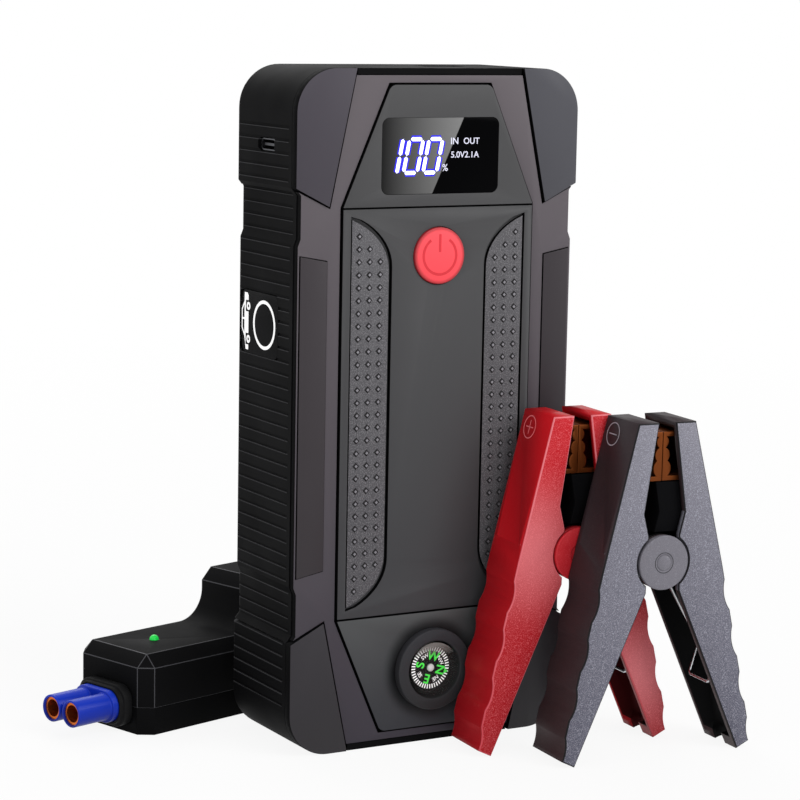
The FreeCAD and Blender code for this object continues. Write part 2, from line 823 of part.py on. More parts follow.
def compass_dial():
    centre = ("0", "compass_z")
    disc = rod("dial_disc", "y", "dial_diameter / 2", centre, compass_bed + " - dial_height - dial_thick",
               compass_bed + " - dial_height")
    hole = rod("dial_centre", "y", "dial_hole / 2", centre, compass_bed + " - dial_height - 1",
               compass_bed + " - dial_height + 1")
    return cut("compass_dial", disc, [hole])


def compass_lens():
    centre = ("0", "compass_z")
    outer = rod("capsule_outer", "y", "capsule_diameter / 2", centre, compass_front + " + capsule_sunk",
                compass_bed + " - seat_gap")
    inner = rod("capsule_inner", "y", "capsule_diameter / 2 - capsule_wall", centre,
                compass_front + " + capsule_sunk + capsule_wall", compass_bed + " + 1")
    return cut("compass_lens", outer, [inner])


# Inside: main board, battery and its tray
def circuit_board():
    board = box("board_solid", ("-board_half_wide", "board_half_wide"), (board_front, board_back),
                ("board_margin", "case_high - board_margin"))
    holes = []
    for index, (x, z) in enumerate(board_posts()):
        holes.append(rod("board_hole_%d" % index, "y", "screw_diameter / 2", (x, z),
                         board_front + " - 1", board_back + " + 1"))
    return cut("circuit_board", board, holes)


cell_front = "(%s - case_wall - battery_wall - seat_gap - cell_count * cell_thick - cell_count * cell_gap)" % back


def battery_cells():
    cells = []
    for index in range(int(value("cell_count"))):
        low = "%s + %d * cell_thick + %d * cell_gap" % (cell_front, index, index)
        cells.append(rounded_box("cell_%d" % index, "XZ", ("battery_left", "battery_right"),
                                 ("battery_low", "battery_high"), low, low + " + cell_thick", "case_wall"))
    return gather("battery_cells", cells)


def battery_frame():
    margin = "(battery_wall + cell_gap)"
    tray = box("tray_outer", ("battery_left - " + margin, "battery_right + " + margin),
               (cell_front, back + " - case_wall - seat_gap"),
               ("battery_low - " + margin, "battery_high + " + margin))
    well = box("tray_inner", ("battery_left - cell_gap", "battery_right + cell_gap"),
               (cell_front + " - 1", back + " - case_wall - battery_wall - seat_gap"),
               ("battery_low - cell_gap", "battery_high + cell_gap"))
    return cut("battery_frame", tray, [well])


# Jump socket in the left wall, its two pins and the rubber cover
def jump_socket():
    y = ("cover_y - socket_wide / 2", "cover_y + socket_wide / 2")
    z = ("cover_z - socket_high / 2", "cover_z + socket_high / 2")
    nose = rounded_box("socket_nose", "YZ", y, z, socket_mouth, "%s + socket_long" % socket_mouth, "cover_corner")
    flange = box("socket_rim", ("-%s + seat_gap" % inner_half, "-%s + seat_gap + socket_flange" % inner_half),
                 (y[0] + " - socket_flange", y[1] + " + socket_flange"),
                 (z[0] + " - socket_flange", z[1] + " + socket_flange"))
    tools = []
    for side in (-1, 1):
        centre = ("cover_y + %d * tube_spacing / 2" % side, "cover_z")
        tools.append(rod("socket_bore_%d" % (side + 1), "x", "tube_diameter / 2 + small_gap", centre,
                         socket_mouth + " - 1", "%s + socket_long - socket_floor" % socket_mouth))
        tools.append(rod("socket_pin_hole_%d" % (side + 1), "x", "pin_root", centre,
                         socket_mouth, "%s + socket_long + 1" % socket_mouth))
    return cut("jump_socket", fuse("socket_solid", [nose, flange]), tools)


def jump_socket_pins():
    pins = []
    for side in (-1, 1):
        centre = ("cover_y + %d * tube_spacing / 2" % side, "cover_z")
        name = "jump_pin_%d" % (side + 1)
        inner_end = "%s + socket_long - socket_floor - seat_gap" % socket_mouth
        contact = rod(name + "_contact", "x", "contact_bore / 2", centre, socket_mouth + " + pin_sunk", inner_end)
        root = rod(name + "_root", "x", "pin_root", centre, inner_end + " - 1",
                   "%s + socket_long + pin_sunk" % socket_mouth)
        pins.append(fuse(name, [contact, root]))
    return gather("jump_socket_pins", pins)


cover_face = "(-(case_wide / 2 - side_step))"
hinge_x = "(%s + hinge_radius)" % cover_face
hinge_y = "(%s + hinge_radius / 2)" % cover_high_y


def socket_cover():
    lid = rounded_box("cover_lid", "YZ", (cover_low, cover_high_y),
                      ("cover_z - cover_high / 2", "cover_z + cover_high / 2"),
                      cover_face, "%s + cover_thick - seat_gap" % cover_face, "cover_corner")
    barrel = rod("cover_barrel", "z", "hinge_radius", (hinge_x, hinge_y),
                 "cover_z - cover_high / 4", "cover_z + cover_high / 4")
    return fuse("socket_cover", [lid, barrel])


# Charging ports on their small board
board_top = "(port_z - usb_c_high / 2 - seat_gap)"


def port_board():
    return box("port_board", ("-board_half_wide - port_sunk", "board_half_wide + port_sunk"),
               (board_back + " + seat_gap", "port_board_back"),
               (board_top + " - port_board_thick", board_top))


def port_shell(name, y, wide, high, x, corner, tongue):
    low = board_top + " + seat_gap"
    outer = rounded_box(name + "_outer", "YZ", ("%s - %s / 2" % (y, wide), "%s + %s / 2" % (y, wide)),
                        (low, "%s + %s" % (low, high)), x[0], x[1], corner)
    step = "- 1" if x[0].startswith("-") else "+ 1"
    inner = rounded_box(name + "_inner", "YZ",
                        ("%s - %s / 2 + port_metal" % (y, wide), "%s + %s / 2 - port_metal" % (y, wide)),
                        (low + " + port_metal", "%s + %s - port_metal" % (low, high)),
                        "%s %s" % (x[0], step), "%s %s" % (x[1], step), "%s - port_metal" % corner)
    shell = cut(name + "_shell", outer, [inner])
    middle = "%s + %s / 2" % (low, high)
    blade = box(name + "_blade", (x[0] + " + 0.5", x[1] + " - 0.5"),
                ("%s - %s / 2 + %s" % (y, wide, tongue), "%s + %s / 2 - %s" % (y, wide, tongue)),
                (middle + " - port_metal", middle + " + port_metal"))
    return fuse(name, [shell, blade])


# Torch in the top edge
def torch_lens():
    return box("torch_lens", ("torch_x - torch_wide / 2", "torch_x + torch_wide / 2"),
               ("-torch_deep / 2", "torch_deep / 2"),
               ("case_high - case_wall - seat_gap", "case_high - case_wall - seat_gap + torch_lens_thick"))


def torch_reflector():
    top = "(case_high - case_wall - 2 * seat_gap)"
    body = box("torch_body", ("torch_x - torch_wide / 2 - torch_lip", "torch_x + torch_wide / 2 + torch_lip"),
               ("-torch_deep / 2 - torch_lip", "torch_deep / 2 + torch_lip"), (top + " - torch_high", top))
    cups = []
    for side in (-1, 1):
        cups.append(cone("torch_cup_%d" % (side + 1), "z", "torch_lip", "torch_deep / 2 - torch_lip / 2",
                         ("torch_x + %d * torch_wide / 4" % side, "0"),
                         top + " - torch_high + torch_lip", top + " + 0.001"))
    return cut("torch_reflector", body, cups)


# Battery clamps, built upright about the middle of their feet, then set in place and turned
def stand(thing, x, y, yaw):
    thing.Placement = FreeCAD.Placement(Vector(), FreeCAD.Rotation(Vector(0, 0, 1), 0))
    tie(thing, "Placement.Base.x", x)
    tie(thing, "Placement.Base.y", y)
    tie(thing, "Placement.Rotation.Angle", yaw + " * 1 deg")
    return thing


def flipped(points, side):
    if side > 0:
        return points
    return [("-(%s)" % across, up) for across, up in points]


# One arm seen from the front: outer edge, foot, handle edge, throat and jaw edge
def arm_outline(side):
    return flipped([
        ("arm_top_half", "clamp_high"),
        ("jaw_gap_half", "clamp_high"),
        ("jaw_throat_half", "pivot_high + jaw_throat_up"),
        ("jaw_root_half", "pivot_high + jaw_root_up"),
        ("handle_root_half", "pivot_high - handle_root_down"),
        ("handle_foot_half", "0"),
        ("arm_foot_half", "arm_foot_up"),
        ("arm_bend_half", "pivot_high - arm_bend_down"),
    ], side)


# The channel inside an arm, open towards the middle
def channel_outline(side):
    return flipped([
        ("arm_top_half - arm_web", "clamp_high - arm_wall"),
        ("-jaw_gap_half", "clamp_high - arm_wall"),
        ("-jaw_gap_half", "pivot_high - handle_root_down"),
        ("handle_foot_half - 2 * arm_web", "arm_wall"),
        ("arm_foot_half - arm_web", "arm_foot_up + arm_wall"),
        ("arm_bend_half - arm_web", "pivot_high - arm_bend_down"),
    ], side)


def scallop(name, side, index):
    down = "(scallop_first + %d * scallop_pitch)" % index
    across = "(arm_bend_half + (%s - arm_bend_down) * scallop_lean + scallop_radius - scallop_deep)" % down
    x = across if side > 0 else "-" + across
    return rod(name, "y", "scallop_radius", (x, "pivot_high - " + down), "-clamp_thick", "clamp_thick")


# The left arm's lugs lie outside the right arm's
def lug_depths(side):
    outer = "(clamp_thick / 2 + cap_proud - cap_thick - lug_gap)"
    if side > 0:
        outer = "(clamp_thick / 2 + cap_proud - cap_thick - 2 * lug_gap - lug_thick)"
    return outer + " - lug_thick", outer


def clamp_arm(prefix, word, side):
    name = "%s_%s" % (prefix, word)
    arm = plate(name + "_solid", "XZ", arm_outline(side), "-clamp_thick / 2", "clamp_thick / 2")
    channel = plate(name + "_channel", "XZ", channel_outline(side),
                    "-clamp_thick / 2 + arm_wall", "clamp_thick / 2 - arm_wall")
    centre = ("0", "pivot_high")
    tools = [channel]
    tools.append(rod(name + "_recess", "y", "cap_radius + cap_recess", centre, "-clamp_thick", "clamp_thick"))
    for index in range(int(value("scallop_count"))):
        tools.append(scallop("%s_scallop_%d" % (name, index), side, index))
    tools.append(rod(name + "_cable_notch", "z", "gland_bore", ("%d * handle_foot_half" % side, "0"),
                     "-1", "arm_foot_up + arm_wall + arm_web"))
    channel_arm = cut(name + "_bare", arm, tools)
    lugs = []
    inner, outer = lug_depths(side)
    for face in (-1, 1):
        y = (inner, outer) if face > 0 else ("-(%s)" % outer, "-(%s)" % inner)
        disc = rod("%s_lug_%d" % (name, face + 1), "y", "lug_radius", centre, y[0], y[1])
        reach = "arm_bend_half - arm_web / 2"
        x = ("0", reach) if side > 0 else ("-(%s)" % reach, "0")
        tab = box("%s_tab_%d" % (name, face + 1), x, y, ("pivot_high - lug_radius / 2", "pivot_high + lug_radius / 2"))
        lugs.append(fuse("%s_ear_%d" % (name, face + 1), [disc, tab]))
    solid = fuse(name + "_whole", [channel_arm] + lugs)
    bore = rod(name + "_bore", "y", "pin_radius + pin_clearance", centre, "-clamp_thick", "clamp_thick")
    return cut(name, solid, [bore])


def side_span(inner, outer, side):
    if side > 0:
        return inner, outer
    return "-(%s)" % outer, "-(%s)" % inner


# How far out the channel's wall stands at a given height
def channel_wall(up):
    lean = "(arm_bend_half - arm_top_half) / (clamp_high - arm_wall - pivot_high + arm_bend_down)"
    return "(arm_top_half - arm_web + (clamp_high - arm_wall - (%s)) * %s - seat_gap)" % (up, lean)


bead_top = "(pivot_high + bead_low + 2 * bead_pitch + bead_one - bead_neck / 2)"
strap_low = "(pivot_high + bead_low - bead_three - jaw_plate / 2)"


# Copper jaw: half of each bead, joined to a plate at the top and a strap at the foot
def clamp_jaw(prefix, word, side):
    name = "%s_%s" % (prefix, word)
    y = ("-jaw_wide / 2", "jaw_wide / 2")
    solids = []
    for index, bead in enumerate(("bead_three", "bead_two", "bead_one")):
        up = "pivot_high + bead_low + %d * bead_pitch" % index
        solids.append(rod("%s_bead_%d" % (name, index), "y", bead, ("0", up), y[0], y[1]))
    solids.append(box(name + "_web", side_span("0", "bead_neck", side), y, (strap_low, bead_top + " + jaw_plate")))
    for word_of, low in (("plate", bead_top), ("strap", strap_low)):
        span = side_span("0", channel_wall(low + " + jaw_plate"), side)
        solids.append(box("%s_%s" % (name, word_of), span, y, (low, low + " + jaw_plate")))
    whole = fuse(name + "_both", solids)
    other = box(name + "_other_half", side_span("-3 * bead_three", "bite_gap / 2", side),
                ("-clamp_thick", "clamp_thick"), ("0", "2 * clamp_high"))
    return cut(name, whole, [other])


# Black insulating block under the beads, held in the right arm
def jaw_block(prefix):
    top = strap_low + " - 2 * small_gap"
    low = "pivot_high + lug_radius + cap_recess"
    middle = "pivot_high + jaw_throat_up"
    points = [
        ("-bead_one", low),
        ("jaw_root_half", low),
        (channel_wall(middle), middle),
        (channel_wall(top), top),
        ("-bead_one", top),
        ("-bead_neck / 2", middle),
    ]
    return plate(prefix + "_jaw_block", "XZ", points, "-jaw_wide / 2", "jaw_wide / 2")


cap_outer = "(clamp_thick / 2 + cap_proud)"


# Pin with a bush in the middle that the spring's coils sit on
def pivot_pin(prefix):
    return fuse(prefix + "_pivot_pin", [
        rod(prefix + "_pin_shank", "y", "pin_radius", ("0", "pivot_high"), "-" + cap_outer, cap_outer),
        rod(prefix + "_pin_bush", "y", "bush_radius", ("0", "pivot_high"), "-bush_half", "bush_half"),
    ])


def pivot_caps(prefix):
    caps = []
    for face in (-1, 1):
        inner = cap_outer + " - cap_thick"
        y = (inner, cap_outer) if face > 0 else ("-" + cap_outer, "-(%s)" % inner)
        name = "%s_cap_%d" % (prefix, face + 1)
        disc = rod(name + "_disc", "y", "cap_radius", ("0", "pivot_high"), y[0], y[1])
        hole = rod(name + "_hole", "y", "pin_radius", ("0", "pivot_high"), y[0] + " - 1", y[1] + " + 1")
        caps.append(cut(name, disc, [hole]))
    return gather(prefix + "_pivot_caps", caps)


# An arc from its ends and the corner where its end tangents meet
def arc_edge(start, corner, end):
    weight = (end - start).Length / 2 / (corner - start).Length
    top = (start + end + corner * (2 * weight)) * (1 / (2 + 2 * weight))
    return Part.Arc(start, top, end).toShape()


# The two arcs that join two points with given directions
def biarc(start, start_way, end, end_way):
    across = end - start
    a = 2 * (1 - start_way.dot(end_way))
    b = 2 * across.dot(start_way + end_way)
    reach = (-b + math.sqrt(b * b + 4 * a * across.dot(across))) / (2 * a)
    first = start + start_way * reach
    second = end - end_way * reach
    middle = (first + second) * 0.5
    return [arc_edge(start, first, middle), arc_edge(middle, second, end)]


# Straight runs through points, with a tangent arc at each inner one
def bent_run(points, bend):
    edges = []
    start = points[0]
    for before, corner, after in zip(points, points[1:], points[2:]):
        way_in = (corner - before).normalize()
        way_out = (after - corner).normalize()
        reach = bend * math.tan(math.acos(way_in.dot(way_out)) / 2)
        begin = corner - way_in * reach
        finish = corner + way_out * reach
        edges.append(Part.LineSegment(start, begin).toShape())
        edges.append(arc_edge(begin, corner, finish))
        start = finish
    edges.append(Part.LineSegment(start, points[-1]).toShape())
    return edges


# Double torsion spring: a coil each side of the middle, a loop between them that bears in the
# right handle, and a leg from each coil that bears in the left one
def clamp_spring(prefix):
    wire = value("wire_radius")
    coil = value("coil_radius")
    lean = math.radians(value("leg_lean"))
    turn = 2 * math.pi * value("coil_turns") + math.pi - 2 * lean
    steps = 4 * int(value("coil_turns")) + 2
    inner = value("coil_inner")
    rise = value("coil_pitch") / (2 * math.pi)
    high = value("pivot_high")

    # Goes over the top of the pin from left to right
    def on_coil(step):
        angle = turn * step / steps
        around = math.pi - lean - angle
        return Vector(coil * math.cos(around), inner + rise * angle, high + coil * math.sin(around))

    def coil_way(step):
        around = math.pi - lean - turn * step / steps
        return Vector(coil * math.sin(around), rise, -coil * math.cos(around)).normalize()

    leg_way = Vector(math.sin(lean), 0, math.cos(lean))
    leg_start = on_coil(0) - leg_way * value("leg_long")
    knee = Vector(value("loop_knee_half"), value("loop_half_wide"), high - value("loop_knee_down"))
    loop_end = Vector(value("loop_end_half"), value("loop_half_wide"), high - value("loop_end_down"))
    middle = Vector(loop_end.x, 0, loop_end.z)
    exit_way = (knee - on_coil(steps)).normalize()
    ways = [leg_way] + [coil_way(step) for step in range(1, steps)] + [exit_way]
    half_path = [Part.LineSegment(leg_start, on_coil(0)).toShape()]
    for step in range(steps):
        half_path += biarc(on_coil(step), ways[step], on_coil(step + 1), ways[step + 1])
    half_path += bent_run([on_coil(steps), knee, loop_end, middle], value("wire_bend"))
    other = [edge.mirror(Vector(), Vector(0, 1, 0)) for edge in reversed(half_path)]
    path = Part.Wire(half_path + other)
    ring = Part.Wire(Part.Circle(leg_start, leg_way, wire).toShape())
    tube = path.makePipeShell([ring], True, False)
    points = [on_coil(step / 8) for step in range(8 * steps + 1)]
    least = min((one - another).Length for index, one in enumerate(points)
                for another in points[index + 24:])
    print(prefix, "spring: least gap between turns %.2f mm, between coils %.2f mm"
          % (least - 2 * wire, 2 * inner - 2 * wire))
    print(prefix, "spring: volume %.1f of %.1f cubic mm" % (tube.Volume, math.pi * wire ** 2 * path.Length))
    spring = doc.addObject("Part::Feature", prefix + "_spring")
    spring.Shape = tube
    return spring


# Connector module, built along X from its plug end, then set in place and turned
module_half = "module_wide / 2"


def module_footprint(inset):
    edge = "(%s - %s)" % (module_half, inset)
    end = "(module_long - %s)" % inset
    return [
        ("%s + module_chamfer" % inset, "-" + edge),
        ("%s - module_chamfer" % end, "-" + edge),
        (end, "-%s + module_chamfer" % edge),
        (end, "%s - module_chamfer" % edge),
        ("%s - module_chamfer" % end, edge),
        ("%s + module_chamfer" % inset, edge),
        (inset, "%s - module_chamfer" % edge),
        (inset, "-%s + module_chamfer" % edge),
    ]


def module_posts():
    return [(x, y) for x in ("module_post_in", "module_long - module_post_in / 2")
            for y in ("-module_post_y", "module_post_y")]


# Outline round the plug, wider than the plug by a margin
def plug_ring(name, margin, low, high, corner):
    return rounded_box(name, "YZ", ("-plug_wide / 2 - (%s)" % margin, "plug_wide / 2 + " + margin),
                       ("module_split - plug_high / 2 - (%s)" % margin, "module_split + plug_high / 2 + " + margin),
                       low, high, corner)


def module_base():
    tub = plate("module_tub", "XY", module_footprint("0"), "0", "module_split")
    hollow = plate("module_tub_hollow", "XY", module_footprint("module_wall"), "module_wall", "module_split + 1")
    opening = plug_ring("base_opening", "collar_sleeve + small_gap", "-1", "module_wall + 2", "plug_high / 2")
    bare = cut("module_tub_bare", tub, [hollow, opening])
    posts = []
    holes = []
    for index, (x, y) in enumerate(module_posts()):
        posts.append(rod("base_post_%d" % index, "z", "post_radius", (x, y), "module_wall / 2", "module_board_z"))
        holes.append(rod("base_hole_%d" % index, "z", "module_screw + small_gap", (x, y), "-1", "module_split + 1"))
        holes.append(rod("base_seat_%d" % index, "z", "module_screw * 2", (x, y), "-1", "module_wall / 2"))
    return cut("module_base", fuse("module_base_whole", [bare] + posts), holes)


def module_lid():
    points = [
        ("0", "module_split + seat_gap"),
        ("0", "module_low_high"),
        ("module_step", "module_low_high"),
        ("module_step", "module_high - module_brow"),
        ("module_step + module_brow", "module_high"),
        ("module_long", "module_high"),
        ("module_long", "module_split + seat_gap"),
    ]
    lid = plate("lid_solid", "XZ", points, "-" + module_half, module_half)
    step = value("module_step")
    low_high = value("module_low_high")
    ease(lid, "module_sweep", lambda edge: runs_along(edge, "y") and near(edge.CenterOfMass.x, step)
         and near(edge.CenterOfMass.z, low_high))
    side = value(module_half)
    split = value("module_split + seat_gap")
    end_tops = ((0.0, low_high), (value("module_long"), value("module_high")))

    def is_outer(edge):
        middle = edge.CenterOfMass
        if runs_along(edge, "y"):
            return any(near(middle.x, x) and near(middle.z, z) for x, z in end_tops)
        return near(abs(middle.y), side) and not near(edge.BoundBox.ZMax, split)

    ease(lid, "module_chamfer", is_outer, "Chamfer")
    inner_points = [
        ("module_wall", "module_split - 1"),
        ("module_wall", "module_low_high - module_wall"),
        ("module_step + module_wall", "module_low_high - module_wall"),
        ("module_step + module_wall", "module_high - module_brow"),
        ("module_step + module_brow", "module_high - module_wall"),
        ("module_long - module_wall", "module_high - module_wall"),
        ("module_long - module_wall", "module_split - 1"),
    ]
    hollow = plate("lid_hollow", "XZ", inner_points, "-%s + module_wall" % module_half, module_half + " - module_wall")
    inner_step = value("module_step + module_wall")
    inner_low = value("module_low_high - module_wall")
    ease(hollow, "module_sweep + module_wall", lambda edge: runs_along(edge, "y")
         and near(edge.CenterOfMass.x, inner_step) and near(edge.CenterOfMass.z, inner_low))
    tools = [hollow, plug_ring("lid_opening", "collar_sleeve + small_gap", "-1", "module_wall + 2", "plug_high / 2")]
    tools.append(rod("lamp_hole", "z", "lamp_radius + seat_gap", ("lamp_x", "0"), "module_split", "module_high"))
    for side_way in (-1, 1):
        tools.append(rod("gland_hole_%d" % (side_way + 1), "x", "gland_radius + seat_gap",
                         ("%d * gland_spacing / 2" % side_way, "gland_z"),
                         "module_long - module_wall - 1", "module_long + 1"))
    bare = cut("lid_bare", lid, tools)
    posts = []
    holes = []
    for index, (x, y) in enumerate(module_posts()):
        ceiling = "module_low_high" if index < 2 else "module_high"
        posts.append(rod("lid_post_%d" % index, "z", "post_radius", (x, y),
                         "module_board_z + module_board_thick + small_gap", ceiling + " - module_wall / 2"))
        holes.append(rod("lid_hole_%d" % index, "z", "module_screw", (x, y), "0", ceiling + " - 2 * module_wall"))
    return cut("module_lid", fuse("lid_whole", [bare] + posts), holes)


def module_lamp():
    stem = rod("lamp_stem", "z", "lamp_radius", ("lamp_x", "0"),
               "module_low_high - 2 * module_wall", "module_low_high")
    dome = doc.addObject("Part::Sphere", "lamp_dome")
    tie(dome, "Radius", "lamp_radius")
    tie(dome, "Placement.Base.x", "lamp_x")
    tie(dome, "Placement.Base.z", "module_low_high")
    return fuse("module_lamp", [stem, dome])


def tube_places():
    return [("%d * tube_spacing / 2" % side, "module_split") for side in (-1, 1)]


def module_plug():
    body = plug_ring("plug_body", "0", "-plug_reach + plug_tube", "plug_root", "plug_high / 2 - small_gap")
    tubes = []
    bores = []
    for index, centre in enumerate(tube_places()):
        tubes.append(rod("plug_tube_%d" % index, "x", "tube_diameter / 2", centre,
                         "-plug_reach", "-plug_reach + plug_tube + 1"))
        bores.append(rod("plug_bore_%d" % index, "x", "contact_bore / 2 + contact_wall + seat_gap", centre,
                         "-plug_reach - 1", "plug_root + 1"))
    return cut("module_plug", fuse("plug_whole", [body] + tubes), bores)


def module_plug_contacts():
    contacts = []
    for index, centre in enumerate(tube_places()):
        outer = rod("contact_outer_%d" % index, "x", "contact_bore / 2 + contact_wall", centre,
                    "-plug_reach + contact_wall", "plug_root + 2")
        inner = rod("contact_inner_%d" % index, "x", "contact_bore / 2", centre, "-plug_reach", "plug_root - 2")
        contacts.append(cut("contact_%d" % index, outer, [inner]))
    return gather("module_plug_contacts", contacts)


# Stepped rubber collar where the plug leaves the module
def module_collar():
    wide = plug_ring("collar_wide", "collar_margin", "-collar_long", "-seat_gap", "plug_high / 2")
    slim = plug_ring("collar_slim", "collar_margin / 2", "-collar_long * 1.4", "-collar_long + 1", "plug_high / 2")
    sleeve = plug_ring("collar_inside", "collar_sleeve", "-collar_long + 1", "module_wall", "plug_high / 2")
    hole = plug_ring("collar_hole", "seat_gap", "-collar_long * 2", "module_wall + 1", "plug_high / 2 - small_gap")
    return cut("module_collar", fuse("collar_whole", [wide, slim, sleeve]), [hole])


def module_board():
    board = box("module_board_solid", ("plug_root + 2 * module_wall", "module_long - 2.5 * module_wall"),
                ("-%s + module_wall + 1" % module_half, "%s - module_wall - 1" % module_half),
                ("module_board_z + seat_gap", "module_board_z + module_board_thick"))
    holes = [rod("module_board_hole_%d" % index, "z", "module_screw + small_gap", place, "0", "module_split")
             for index, place in enumerate(module_posts())]
    return cut("module_board", board, holes)


def module_relay():
    low = "module_board_z + module_board_thick + seat_gap"
    case = box("relay_case", ("module_step - relay_long", "module_step"), ("-relay_wide / 2", "relay_wide / 2"),
               (low, low + " + relay_high"))
    return gather("module_relay", [case])


# Double rubber gland where the two clamp cables leave the module
def module_glands():
    solids = []
    bores = []
    inside = "module_long - module_wall - seat_gap"
    for side in (-1, 1):
        centre = ("%d * gland_spacing / 2" % side, "gland_z")
        name = "gland_%d" % (side + 1)
        solids.append(cone(name + "_sleeve", "x", "gland_radius", "gland_radius * 0.85", centre,
                           "module_long", "module_long + gland_long"))
        solids.append(rod(name + "_neck", "x", "gland_radius", centre, inside + " - gland_flange / 2",
                          "module_long + seat_gap"))
        solids.append(rod(name + "_flange", "x", "gland_radius + gland_flange", centre,
                          inside + " - gland_flange", inside))
        bores.append(rod(name + "_bore", "x", "gland_bore", centre, "module_step", "module_long + 2 * gland_long"))
    return cut("module_cable_glands", fuse("glands_whole", solids), bores)


def module_screws():
    screws = []
    for index, place in enumerate(module_posts()):
        head = rod("module_head_%d" % index, "z", "module_screw * 2 - small_gap", place,
                   "module_wall / 8", "module_wall / 2 - seat_gap")
        shank = rod("module_shank_%d" % index, "z", "module_screw - seat_gap", place,
                    "module_wall / 4", "module_split + module_wall")
        screws.append(fuse("module_screw_%d" % index, [head, shank]))
    return gather("module_screws", screws)


# The power pack
keep("front_shell", front_shell())
keep("rear_shell", rear_shell())
keep("housing_screws", housing_screws())
keep("face_frame", face_frame())
for corner_name in guard_corners:
    keep("corner_guard_" + corner_name, corner_guard(corner_name))
for side_word, side_sign in (("left", -1), ("right", 1)):
    keep("side_inlay_" + side_word, side_inlay(side_word, side_sign))
    keep("grip_pad_" + side_word, grip_pad(side_word, side_sign))
keep("display_panel", display_panel())
keep("display_window", display_window())
keep("display_module", display_module())
keep("centre_panel", centre_panel())
keep("compass_panel", compass_panel())
keep("power_button", power_button())
keep("power_switch", power_switch())
keep("compass_housing", compass_housing())
keep("compass_pivot", compass_pivot())
keep("compass_dial", compass_dial())
keep("compass_lens", compass_lens())
keep("circuit_board", circuit_board())
keep("battery_cells", battery_cells())
keep("battery_frame", battery_frame())
keep("jump_socket", jump_socket())
keep("jump_socket_pins", jump_socket_pins())
keep("socket_cover", socket_cover())
keep("port_board", port_board())
port_left = "-(case_wide / 2 - port_sunk)"
keep("usb_c_port", port_shell("usb_c", "usb_c_y", "usb_c_wide", "usb_c_high",
                              (port_left, port_left + " + usb_c_long"), "usb_c_corner", "usb_c_high / 3"))
port_right = "case_wide / 2 - port_sunk"
keep("usb_a_port", port_shell("usb_a", "usb_a_y", "usb_a_wide", "usb_a_high",
                              (port_right + " - usb_a_long", port_right), "usb_a_corner", "usb_a_high / 6"))
keep("torch_lens", torch_lens())
keep("torch_reflector", torch_reflector())

# The two clamps
for colour in ("red", "black"):
    clamp_pieces = {
        "left_arm": clamp_arm(colour, "left_arm", -1),
        "right_arm": clamp_arm(colour, "right_arm", 1),
        "left_jaw": clamp_jaw(colour, "left_jaw", -1),
        "right_jaw": clamp_jaw(colour, "right_jaw", 1),
        "jaw_block": jaw_block(colour),
        "pivot_pin": pivot_pin(colour),
        "pivot_caps": pivot_caps(colour),
        "spring": clamp_spring(colour),
    }
    for word, piece in clamp_pieces.items():
        keep("%s_%s" % (colour, word), stand(piece, colour + "_x", colour + "_y", "clamp_yaw"))

# The connector module
module_pieces = {
    "base": module_base(),
    "lid": module_lid(),
    "lamp": module_lamp(),
    "plug": module_plug(),
    "plug_contacts": module_plug_contacts(),
    "collar": module_collar(),
    "board": module_board(),
    "relay": module_relay(),
    "cable_glands": module_glands(),
    "screws": module_screws(),
}
for word, piece in module_pieces.items():
    keep("module_" + word, stand(piece, "module_x", "module_y", "module_yaw"))

doc.recompute()
for thing in doc.Objects:
    if "Invalid" in thing.State or "Error" in thing.State:
        raise RuntimeError("%s failed: %s" % (thing.Label, thing.State))
for thing in parts:
    if thing.Shape.isNull() or not thing.Shape.isValid() or not thing.Shape.Solids:
        raise RuntimeError("%s has no valid solid" % thing.Label)
for thing in parts:
    thing.Shape.exportStep(os.path.join("parts", thing.Label + ".step"))
print(len(parts), "parts")
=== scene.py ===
import bpy, bmesh, json, math
from mathutils import Vector, Matrix

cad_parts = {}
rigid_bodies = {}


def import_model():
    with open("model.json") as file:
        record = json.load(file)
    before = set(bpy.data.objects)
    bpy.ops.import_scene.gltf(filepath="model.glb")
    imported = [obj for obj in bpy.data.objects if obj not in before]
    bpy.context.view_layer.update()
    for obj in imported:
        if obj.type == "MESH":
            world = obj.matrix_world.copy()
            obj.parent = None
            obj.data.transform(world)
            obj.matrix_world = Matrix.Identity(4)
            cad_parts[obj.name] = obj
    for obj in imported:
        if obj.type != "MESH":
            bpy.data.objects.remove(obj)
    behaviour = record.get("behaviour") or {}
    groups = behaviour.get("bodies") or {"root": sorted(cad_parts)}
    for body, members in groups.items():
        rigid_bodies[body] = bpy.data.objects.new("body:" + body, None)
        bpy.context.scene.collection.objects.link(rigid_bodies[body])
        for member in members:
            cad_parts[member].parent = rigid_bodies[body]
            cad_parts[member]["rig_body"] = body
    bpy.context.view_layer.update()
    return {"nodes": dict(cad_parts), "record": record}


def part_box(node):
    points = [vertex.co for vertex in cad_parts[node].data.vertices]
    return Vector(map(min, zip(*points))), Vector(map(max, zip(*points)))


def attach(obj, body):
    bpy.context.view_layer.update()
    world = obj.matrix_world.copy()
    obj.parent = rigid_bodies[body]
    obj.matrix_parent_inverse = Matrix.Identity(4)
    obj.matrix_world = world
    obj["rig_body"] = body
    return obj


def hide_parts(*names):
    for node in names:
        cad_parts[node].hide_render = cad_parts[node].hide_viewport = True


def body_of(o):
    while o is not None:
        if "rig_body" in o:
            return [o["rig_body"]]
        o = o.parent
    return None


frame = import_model()
cadNodes = frame["nodes"]
slotOf = {part["node"]: part["material_slot"] for part in frame["record"]["subparts"]}
mm = 0.001
white = "#ffffff"
print("frame loaded:", len(cadNodes), "nodes")


# helpers for objects, meshes and nodes

def linear(hexText):
    values = [int(hexText[i:i + 2], 16) / 255 for i in (1, 3, 5)]
    return [v / 12.92 if v <= 0.04045 else ((v + 0.055) / 1.055) ** 2.4 for v in values] + [1.0]


